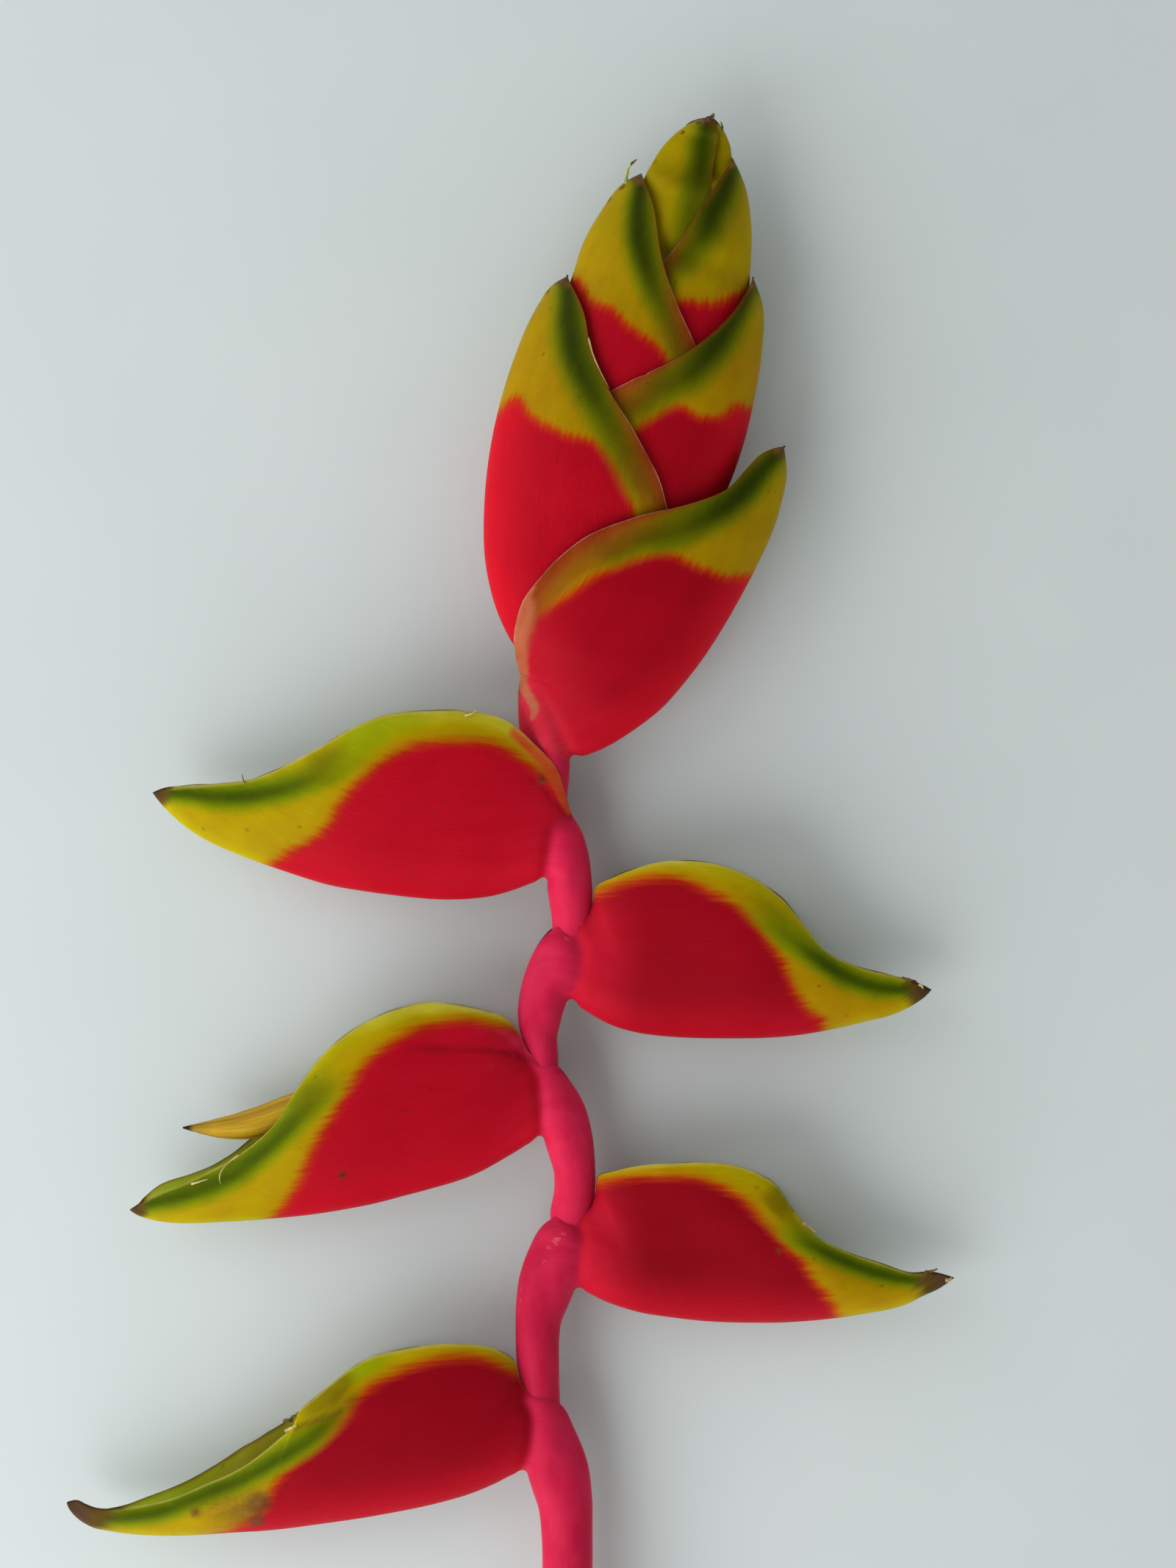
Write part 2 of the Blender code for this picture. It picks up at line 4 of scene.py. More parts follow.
import bpy
import numpy as np
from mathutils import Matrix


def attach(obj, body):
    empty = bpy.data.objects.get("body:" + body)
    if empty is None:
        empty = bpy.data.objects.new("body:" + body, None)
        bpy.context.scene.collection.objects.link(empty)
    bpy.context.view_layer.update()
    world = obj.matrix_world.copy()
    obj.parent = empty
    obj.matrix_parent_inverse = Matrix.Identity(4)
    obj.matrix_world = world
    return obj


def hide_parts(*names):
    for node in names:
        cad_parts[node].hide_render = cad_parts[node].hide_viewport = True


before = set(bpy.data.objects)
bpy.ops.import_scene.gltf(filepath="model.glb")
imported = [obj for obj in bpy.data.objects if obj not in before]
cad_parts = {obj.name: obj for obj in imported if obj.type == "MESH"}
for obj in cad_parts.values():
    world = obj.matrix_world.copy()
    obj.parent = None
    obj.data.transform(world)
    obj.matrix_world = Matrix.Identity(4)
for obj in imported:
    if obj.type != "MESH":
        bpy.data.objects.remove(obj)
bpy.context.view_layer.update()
print("frame loaded:", len(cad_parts), "nodes")

# Outlines are in millimetres on the plan, the drawing of the flower seen from an eye above it.
# The eye stands over the plan's zero, which lies a little off the middle of the whole outline.
plan = {"shiftX": 16.6, "shiftY": 30.62, "eyeHeight": 583.5, "drawnLevel": 12.5}
# Each bract is mirrored about a surface that climbs from the open bracts to the spike, heights in mm.
mirror = {"open": 10.6, "spike": 14.6, "from": -22.0, "to": 46.0}


def smoothStep(low, high, value):
    share = np.clip((value - low) / (high - low), 0, 1)
    return share * share * (3 - 2 * share)


def bell(value, wide):
    # 1 at zero, falling off smoothly over a width
    return np.exp(-((value / wide) ** 2))


def middleHeight(y):
    return mirror["open"] + (mirror["spike"] - mirror["open"]) * smoothStep(mirror["from"], mirror["to"], y)


def tableValue(pairs, at):
    places, values = zip(*pairs)
    return np.interp(at, places, values)


def curveThrough(points, steps=16):
    # dense smooth line through given points, any number of columns
    points = np.array(points, float)
    chord = np.linalg.norm(np.diff(points, axis=0), axis=1)
    slope = np.diff(points, axis=0) / chord[:, None]
    before, after = chord[:-1, None], chord[1:, None]
    tangent = np.empty_like(points)
    tangent[1:-1] = (slope[:-1] * after + slope[1:] * before) / (before + after)
    tangent[0] = 1.5 * slope[0] - 0.5 * tangent[1]
    tangent[-1] = 1.5 * slope[-1] - 0.5 * tangent[-2]
    line = []
    for i, length in enumerate(chord):
        s = np.linspace(0, 1, steps, endpoint=False)[:, None]
        line.append(
            (2 * s**3 - 3 * s**2 + 1) * points[i] + (s**3 - 2 * s**2 + s) * length * tangent[i]
            + (3 * s**2 - 2 * s**3) * points[i + 1] + (s**3 - s**2) * length * tangent[i + 1]
        )
    return np.vstack([*line, points[-1:]])


def runAlong(line):
    return np.concatenate([[0], np.cumsum(np.linalg.norm(np.diff(line, axis=0), axis=1))])


def evenly(line, count):
    # the same line in a number of evenly spaced points
    along = runAlong(line)
    at = np.linspace(0, 1, count) * along[-1]
    return np.stack([np.interp(at, along, line[:, k]) for k in range(line.shape[1])], axis=1)


def undrawn(points, twin=0):
    # What is nearer the eye was drawn too large, so it is drawn in here. The half below the middle
    # surface mirrors the upper one at twin 0, and lies right under its drawn outline at twin 1.
    points = np.array(points, float)
    level = middleHeight(points[..., 1])
    rise = np.abs(points[..., 2] - level) / plan["eyeHeight"]
    share = (level - plan["drawnLevel"]) / plan["eyeHeight"]
    share = share + rise * np.where(points[..., 2] < level, 1 - 2 * twin, 1)
    points[..., :2] *= 1 - share[..., None]
    return points


def toFrame(points):
    # millimetres from the eye's foot, with height above the table, to metres in the frame
    return (np.array(points, float) + [plan["shiftX"], plan["shiftY"], 0]) / 1000


def waver(a, b, seed, waves=5):
    # gentle repeatable unevenness between about -1 and 1
    rng = np.random.default_rng(seed)
    total = 0
    for _ in range(waves):
        fa, fb = rng.uniform(0.4, 1.5, 2)
        total = total + np.sin(a * fa + rng.uniform(0, 6.3)) * np.sin(b * fb + rng.uniform(0, 6.3))
    return total / 2.6


# Each rib of a bract runs from its keel (closed edge) to its margin (open edge):
# (keel x, keel y, margin x, margin y, turn in degrees, half depth). A turn of 180 is a closed tube.
# The first ribs of an open bract are the length of stem that it grows out of.
# Lines on the plan: "crease" where a bract leaves the stem, "farMargin" its lower side where that shows,
# "fold" a valley, "green" the stripe along the margin, "redEdge" where the red ends, "flap" a pale edge of
# (x, y, width). Marks are (x, y, width, strength), and notches (x, y, depth, width, side). "dry" is the
# length of the dry tip; "tone", "blush", "lemon", "pale" and "tan" are how much of a colour shows.
# The pinker base by the stem is partly painted light, strongest on the bracts right of the stem.
openBracts = {
    "bract_01": {
        "ribs": [
            (-10, -206, 1, -206, 180, 5.5), (-10, -190, 1, -190, 180, 5.4), (-10, -175, 1, -175, 180, 5.3),
            (-10.1, -164, 1, -163, 180, 5.3), (-10.8, -157.5, 0.9, -155, 180, 5.3),
            (-12.2, -152.4, -0.2, -147.2, 178, 5.4), (-14.2, -149.9, -2.9, -140.4, 172, 5.6),
            (-17, -150.6, -5.6, -135.4, 160, 5.9), (-19.7, -152, -8.8, -133.6, 144, 6.4),
            (-22.6, -153.3, -12.4, -132.5, 151, 6.9), (-26, -154.6, -14.9, -129.6, 160, 7.4),
            (-30, -155.8, -15.8, -125.8, 158, 8), (-34.5, -156.9, -18.8, -123.4, 142, 8.7),
            (-43, -158.6, -29, -121.9, 125, 9.9), (-51, -160, -40, -122.9, 122, 10.7),
            (-59, -161.2, -49, -125.6, 122, 10.9), (-66, -162.2, -56.5, -131, 122, 10.6),
            (-69.8, -162.6, -60.3, -134.2, 121.5, 10.2), (-72.4, -162.8, -62.8, -136.4, 121, 10),
            (-73.6, -162.85, -64.4, -140.1, 120.6, 9.7), (-76.4, -163, -67.2, -142.6, 120, 9.2),
            (-83, -163.4, -74.3, -148.2, 120, 7.9), (-91, -163.6, -83.5, -152.6, 118, 6.2),
            (-98.5, -163.2, -92.5, -156, 116, 4.6), (-104.5, -162.4, -101, -157.5, 113, 3.2),
            (-108.3, -161.5, -106.6, -157.6, 110, 2.4), (-111, -159.9, -109.3, -156.7, 110, 2.0),
            (-112.8, -158, -111.3, -155.8, 110, 1.5), (-113.5, -156.5, -113.3, -156.2, 110, 0.5),
        ],
        "crease": [(-14.2, -156), (-13.9, -149.5), (-12.9, -146), (-12.2, -141), (-12.4, -137),
            (-13.8, -133.8), (-12.5, -132.2)],
        "farMargin": [(-60.3, -134.2), (-62.8, -136.4), (-65.5, -138.5), (-70, -141), (-73.4, -143),
            (-80.2, -147.5), (-87.5, -151.7), (-95.9, -155.1), (-101, -157), (-104.5, -157.7)],
        "fold": [(-63.4, -140.2), (-60.5, -139), (-57.5, -137.9), (-54, -136.4)],
        "spots": [(-71.2, -156.2, 5.5, 0.8), (-72, -160.7, 2.8, 1.2), (-85.5, -158.5, 2.6, 0.6),
            (-79.5, -158.5, 12, 0.42), (-74, -158.5, 8, 0.35)],
        "olive": [(-54.5, -131.2, 9), (-60, -136, 8, 0.6)],
        "lime": [(-50.5, -127.6, 8, 0.9), (-46, -126, 9, 0.6)],
        "notches": [(-64.6, -138, 0.5, 0.6, "far"), (-66.4, -139.2, 0.35, 0.5, "far")],
        "dry": 9.5, "tone": 0.3, "lemon": 0.35, "blush": 0.2,
        "green": [(-106, -159.8), (-101, -159.7), (-92, -158.1), (-83.6, -154.6), (-75, -151.2),
            (-68, -147.3), (-61, -143), (-56, -138.6), (-51, -133.5)],
        "redEdge": [(-80, -163), (-76, -161), (-71, -157), (-69, -152.3), (-65, -148), (-60, -144),
            (-55, -139), (-50.5, -133), (-45, -129.3), (-38, -126), (-30, -124.3), (-22, -124.8),
            (-17, -127)],
        "greenWidth": 2.6, "greenFades": 0.75, "greenDepth": 0.75, "greenSide": 0.8,
    },
    "bract_02": {
        "ribs": [
            (-2.2, -149, -9.6, -149, 180, 3.8), (-3.6, -145, -11, -145, 180, 3.8),
            (-5.6, -141, -12.8, -141, 180, 3.8), (-6, -136, -13.6, -136.5, 180, 4.2),
            (-6.2, -131.5, -14.6, -131.5, 180, 4.5), (-6.3, -126, -15.5, -126, 180, 4.7),
            (-6.2, -120, -15.8, -119.5, 180, 4.8), (-5.6, -116, -15.7, -113.5, 180, 4.9),
            (-4.3, -112.6, -14.9, -107, 179, 5.0), (-2.4, -110.3, -12.9, -101.2, 175, 5.2),
            (0.2, -110.9, -10, -96.2, 165, 5.5), (3, -112.4, -6.4, -94.2, 148, 5.9),
            (6, -113.6, -2.6, -94.5, 146, 6.3), (9, -114.5, 0.4, -92.6, 154, 6.8),
            (12.5, -115.3, 1.6, -89, 162, 7.2), (16.5, -115.9, 2.1, -85.4, 154, 7.8),
            (21, -116.4, 6.5, -84.1, 136, 8.5), (27, -116.9, 14, -82.9, 123, 9.3),
            (35, -117.2, 24, -82.3, 120, 10.3), (43, -117.2, 34, -83.6, 121, 10.8),
            (50, -116.7, 40.5, -86.8, 122, 10.4), (56, -116, 44.8, -92.8, 122, 9.3),
            (61, -115.2, 50, -98.5, 120, 7.7), (65.5, -114.4, 57, -102, 118, 5.9),
            (69.5, -113.2, 64, -104.4, 115, 4.3), (73, -111.4, 70, -106.2, 112, 2.9),
            (76.3, -109.9, 74.8, -106.1, 110, 1.8), (79.7, -107.5, 79.7, -107.4, 110, 0.3),
        ],
        "crease": [(-2, -115), (-2, -109.8), (-2, -105), (-1.6, -101), (-1.6, -97.5), (-2.6, -95.4),
            (-4.5, -94.6)],
        # By node 2 a scar, then a line of painted glints up the stem.
        "scars": [(-5.2, -98, 2.4), (-7, -99.5, 2.6), (-8.4, -101.2, 1.9), (-9.5, -104, 1.3),
            (-13.3, -105.4, 1.3), (-14, -107.6, 1.4), (-14.5, -110, 1.4), (-14.9, -112.4, 1.5),
            (-15.1, -114.8, 1.5), (-15.2, -117, 1.4)],
        "olive": [(41.5, -91.5, 9, 0.9)],
        "spots": [(41.5, -101.5, 1.2), (41.2, -88.2, 1.6, 0.5), (44.3, -92.3, 1.4), (46.8, -95.3, 1.2)],
        "notches": [(44.2, -92, 0.45, 0.8, "both"), (47.2, -95.4, 0.4, 0.6, "both")],
        "dry": 7.6, "tone": 0.0, "blush": 1, "yellowFrom": 17,
        "green": [(36, -91), (42, -96), (45.1, -98.5), (49, -100.6), (53.2, -102.6), (59.1, -105.1),
            (64.9, -106.9), (70.4, -107.9), (75.9, -107.7)],
        "redEdge": [(55, -116), (53.5, -112.6), (50.4, -108.6), (47, -103.6), (43.4, -99.5), (39, -95),
            (34.6, -90.6), (30, -87.5), (25, -85.5), (20, -84.9), (12, -85), (5, -86)],
        "greenWidth": 2.3, "greenFades": 0.45, "greenDepth": 0.8, "greenSide": 1.05,
    },
    "bract_03": {
        "ribs": [
            (-13, -109.5, -5.8, -109.5, 180, 3.8), (-10.6, -105.6, -3, -105.6, 180, 3.8),
            (-7.6, -102, 0.2, -102, 180, 3.8), (-8, -97, 0.8, -97, 180, 4.2),
            (-8.2, -93, 1.3, -92.5, 180, 4.5), (-7.4, -88.5, 1.6, -87, 180, 4.6),
            (-7.5, -84, 1.5, -81.5, 180, 4.7), (-8.6, -79.8, 0.9, -76, 179, 4.8),
            (-10.4, -77.1, -0.7, -70, 175, 5.0), (-13.2, -78.5, -3.6, -65, 165, 5.4),
            (-16.2, -80.4, -6.8, -61.4, 148, 5.9), (-19.6, -82.4, -10.4, -60.3, 146, 6.4),
            (-23.5, -84.5, -12.8, -58.4, 156, 6.9), (-28, -86.3, -14.8, -54.6, 160, 7.6),
            (-33, -87.8, -17.6, -51.2, 142, 8.4), (-40, -89.6, -25.5, -48.6, 124, 9.5),
            (-47, -91.3, -35.5, -47.6, 121, 10.4), (-54, -92.6, -43.5, -49.6, 122, 10.9),
            (-61, -93.7, -51, -53.3, 122, 10.6), (-68, -94.5, -57.5, -58.6, 121, 9.8),
            (-74.5, -95.1, -63, -65.8, 120, 8.5), (-81, -95.5, -69, -74.8, 119, 6.9),
            (-86.5, -95.7, -76.5, -80.9, 117, 5.3), (-91.5, -95.5, -85.5, -85.8, 114, 3.8),
            (-95.5, -94.8, -92.5, -88.6, 111, 2.5), (-98.2, -93.8, -97, -90.8, 110, 1.5),
            (-99.8, -92.7, -99.7, -92.6, 110, 0.3),
        ],
        "crease": [(-10.3, -82), (-10.1, -76.4), (-10.2, -71), (-10.6, -66), (-11.6, -62), (-14, -59)],
        "farMargin": [(-69.2, -74.4), (-72, -76.1), (-74.6, -78.1), (-77.3, -80.3), (-79.4, -81.6),
            (-81.4, -82.8), (-84.1, -84), (-87.8, -85.3), (-90.8, -86.2), (-93.2, -87.2), (-95.6, -89),
            (-97.3, -90.6)],
        "spots": [(-53.5, -85, 2.2), (-21, -61, 1.1)],
        "olive": [(-61, -68, 11, 0.5)],
        "fold": [(-9.5, -61.2), (-16, -59), (-24, -57.6), (-32, -57.6), (-38, -58.4)],
        "dry": 3.4, "tone": 0.75, "lemon": 0.5, "blush": 0.4,
        "green": [(-96, -91.6), (-93.6, -91), (-86, -89), (-78, -85.6), (-71.3, -80.6), (-66.7, -76.4),
            (-62, -71.4), (-58.3, -67.6), (-54.5, -64.5), (-50, -60.5)],
        "redEdge": [(-69, -94.4), (-66.8, -91.4), (-63.4, -86), (-61.4, -81), (-58, -74.7), (-54.4, -69),
            (-51, -63.2), (-46, -57.8), (-40, -53.8), (-33, -51.6), (-26, -50.8), (-20, -51.9)],
        "greenWidth": 2.9, "greenFades": 0.5, "greenDepth": 0.8, "greenSide": 0.68, "pale": 1,
    },
    "bract_04": {
        "ribs": [
            (-2.8, -75.5, -9.2, -75.5, 180, 3.6), (-4.2, -71.8, -10.8, -71.8, 180, 3.6),
            (-6.3, -68, -12.6, -68, 180, 3.6), (-6.4, -63, -12.4, -63, 180, 4.0),
            (-6.5, -59, -13.2, -58.5, 180, 4.2), (-6.7, -55, -14.8, -54, 180, 4.3),
            (-6, -51, -15.3, -49.3, 180, 4.5), (-5, -48.6, -14.6, -44.2, 179, 4.7),
            (-3.4, -47.4, -12.9, -38.8, 174, 5.0), (-1, -49, -10.2, -33.9, 163, 5.4),
            (2.2, -50.9, -7, -31.1, 148, 5.9), (5.2, -52.4, -3, -30.5, 146, 6.3),
            (8.4, -53.5, -0.1, -28.8, 154, 6.8), (11.8, -54.3, 1.1, -25.8, 162, 7.3),
            (15.5, -54.8, 1.6, -22.6, 154, 7.8), (19.5, -55.2, 6, -20, 136, 8.5),
            (25, -55.5, 13, -17.7, 124, 9.4), (31, -55.5, 20.5, -16.6, 121, 10.3),
            (38, -55.3, 28.5, -17.5, 122, 10.9), (45, -54.7, 36, -20.6, 122, 10.5),
            (51, -53.8, 42.3, -24.9, 121, 9.4), (56.5, -52.7, 47, -30.6, 120, 8),
            (61, -51.6, 52, -36.5, 118, 6.3), (65, -50.6, 58.5, -39.6, 116, 4.7),
            (68.5, -49.2, 64.5, -41.2, 113, 3.3), (71.5, -47.5, 70, -42.7, 111, 2.1),
            (73.4, -46.2, 72.8, -43.7, 110, 1.3), (74.8, -44.8, 74.7, -44.7, 110, 0.3),
        ],
        "crease": [(-4.6, -53), (-4.1, -47), (-2.2, -42.5), (-1.6, -38.2), (-2.3, -34), (-4.6, -31.6),
            (-6.5, -31)],
        # Painted glints on the stem by node 4.
        "scars": [(-7.4, -29.6, 1.2), (-8.2, -32.4, 1.2), (-4.8, -33.4, 2), (-1.6, -30.8, 1.6),
            (-6.6, -33.6, 1.2)],
        "dry": 5.2, "tone": 0.35, "blush": 1, "yellowFrom": 17,
        "green": [(32, -23), (37.6, -27.8), (44, -33.5), (49, -37.3), (54.7, -41.1), (60.4, -43.6),
            (66, -44.6), (72.4, -44.6)],
        "redEdge": [(51.5, -53.6), (51.5, -51.1), (48.4, -48.8), (46, -45.5), (44.5, -41.9), (42.4, -37.4),
            (38, -31.4), (34, -27.3), (29.7, -24.4), (25, -22), (20, -20.2), (13, -19.8), (8, -20.9),
            (3.2, -22.9)],
        "greenWidth": 2.7, "greenFades": 0.45, "greenDepth": 0.85, "greenSide": 1, "pale": 0.4,
    },
    "bract_05": {
        "ribs": [
            (-13, -48, -6, -48, 180, 3.8), (-10.6, -44, -3, -44, 180, 3.8), (-7.9, -40, 0, -40, 180, 3.8),
            (-7.8, -35, 0.6, -35, 180, 4.1), (-7.8, -30.5, 0.9, -30, 180, 4.3),
            (-8.1, -27, 1, -25.5, 180, 4.5), (-8.6, -23.5, 0.8, -20.5, 180, 4.7),
            (-9.5, -20.9, 0.2, -15.5, 178, 4.9), (-12.2, -21.6, -1.2, -10.6, 173, 5.3),
            (-16, -23, -3.6, -6.6, 160, 5.8), (-20.5, -24.3, -4.8, -2, 138, 6.4),
            (-25.5, -25, -6.6, 3.4, 134, 7.2), (-31, -25.2, -11.2, 8.3, 128, 8.2),
            (-37, -24.9, -17.5, 13.6, 120, 9.3), (-43.5, -24.1, -26, 15.9, 120, 10.2),
            (-50, -23.1, -34.5, 16, 121, 10.8), (-56.5, -21.9, -43, 15.2, 122, 10.7),
            (-63, -20, -51.5, 12.1, 121, 9.8), (-69.5, -17.8, -59.5, 7.4, 120, 8.4),
            (-75.5, -15.6, -67.5, 3.3, 118, 6.8), (-81, -13.3, -75, 0.6, 116, 5.2),
            (-86, -10.6, -82, 0, 114, 3.8), (-90, -7.5, -88, -0.3, 111, 2.5),
            (-93, -4.3, -92.5, -0.9, 110, 1.4), (-94.8, -1.9, -94.7, -1.8, 110, 0.3),
        ],
        "crease": [(-9.7, -27), (-9.3, -20.2), (-8.7, -16), (-8, -11.8), (-7.2, -9), (-5.4, -7.8),
            (-3.6, -7.4)],
        "spots": [(-10.2, 0.9, 2.2)],
        "olive": [(-58, 5, 11, 0.6)],
        "lime": [(-48, 11.8, 14), (-38, 14.4, 9, 0.5)],
        "notches": [(-26.4, 15.6, 0.5, 0.7, "both")],
        "flap": [(-16, 11.6, 1.4), (-12, 8, 2), (-8.5, 4.4, 2.1), (-6.4, 0.5, 1.8), (-5.4, -3, 1.2),
            (-4.2, -6, 0.8)],
        "fold": [(-12.5, 0.5), (-9.5, -2), (-6.8, -4.7), (-4, -7.4)],
        "dry": 3.6, "tone": 1.0, "lemon": 0.55, "blush": 0.5,
        "green": [(-91, -2), (-87.5, -2.1), (-79.5, -2.9), (-70.7, -2.1), (-63.3, -0.3), (-59, 1.5),
            (-54.5, 4.1), (-50, 7.4), (-45, 10.5)],
        "redEdge": [(-69, -17.1), (-66, -14.8), (-60, -11.4), (-56.8, -8), (-54.5, -3.8), (-52, -0.6),
            (-48, 3), (-43.7, 6.4), (-39.5, 8.5), (-33, 9.8), (-26, 10), (-20, 9.2), (-15.5, 6.9),
            (-12, 4.5)],
        "greenWidth": 3.0, "greenFades": 0.35, "greenDepth": 0.85, "pale": 0.5,
    },
}
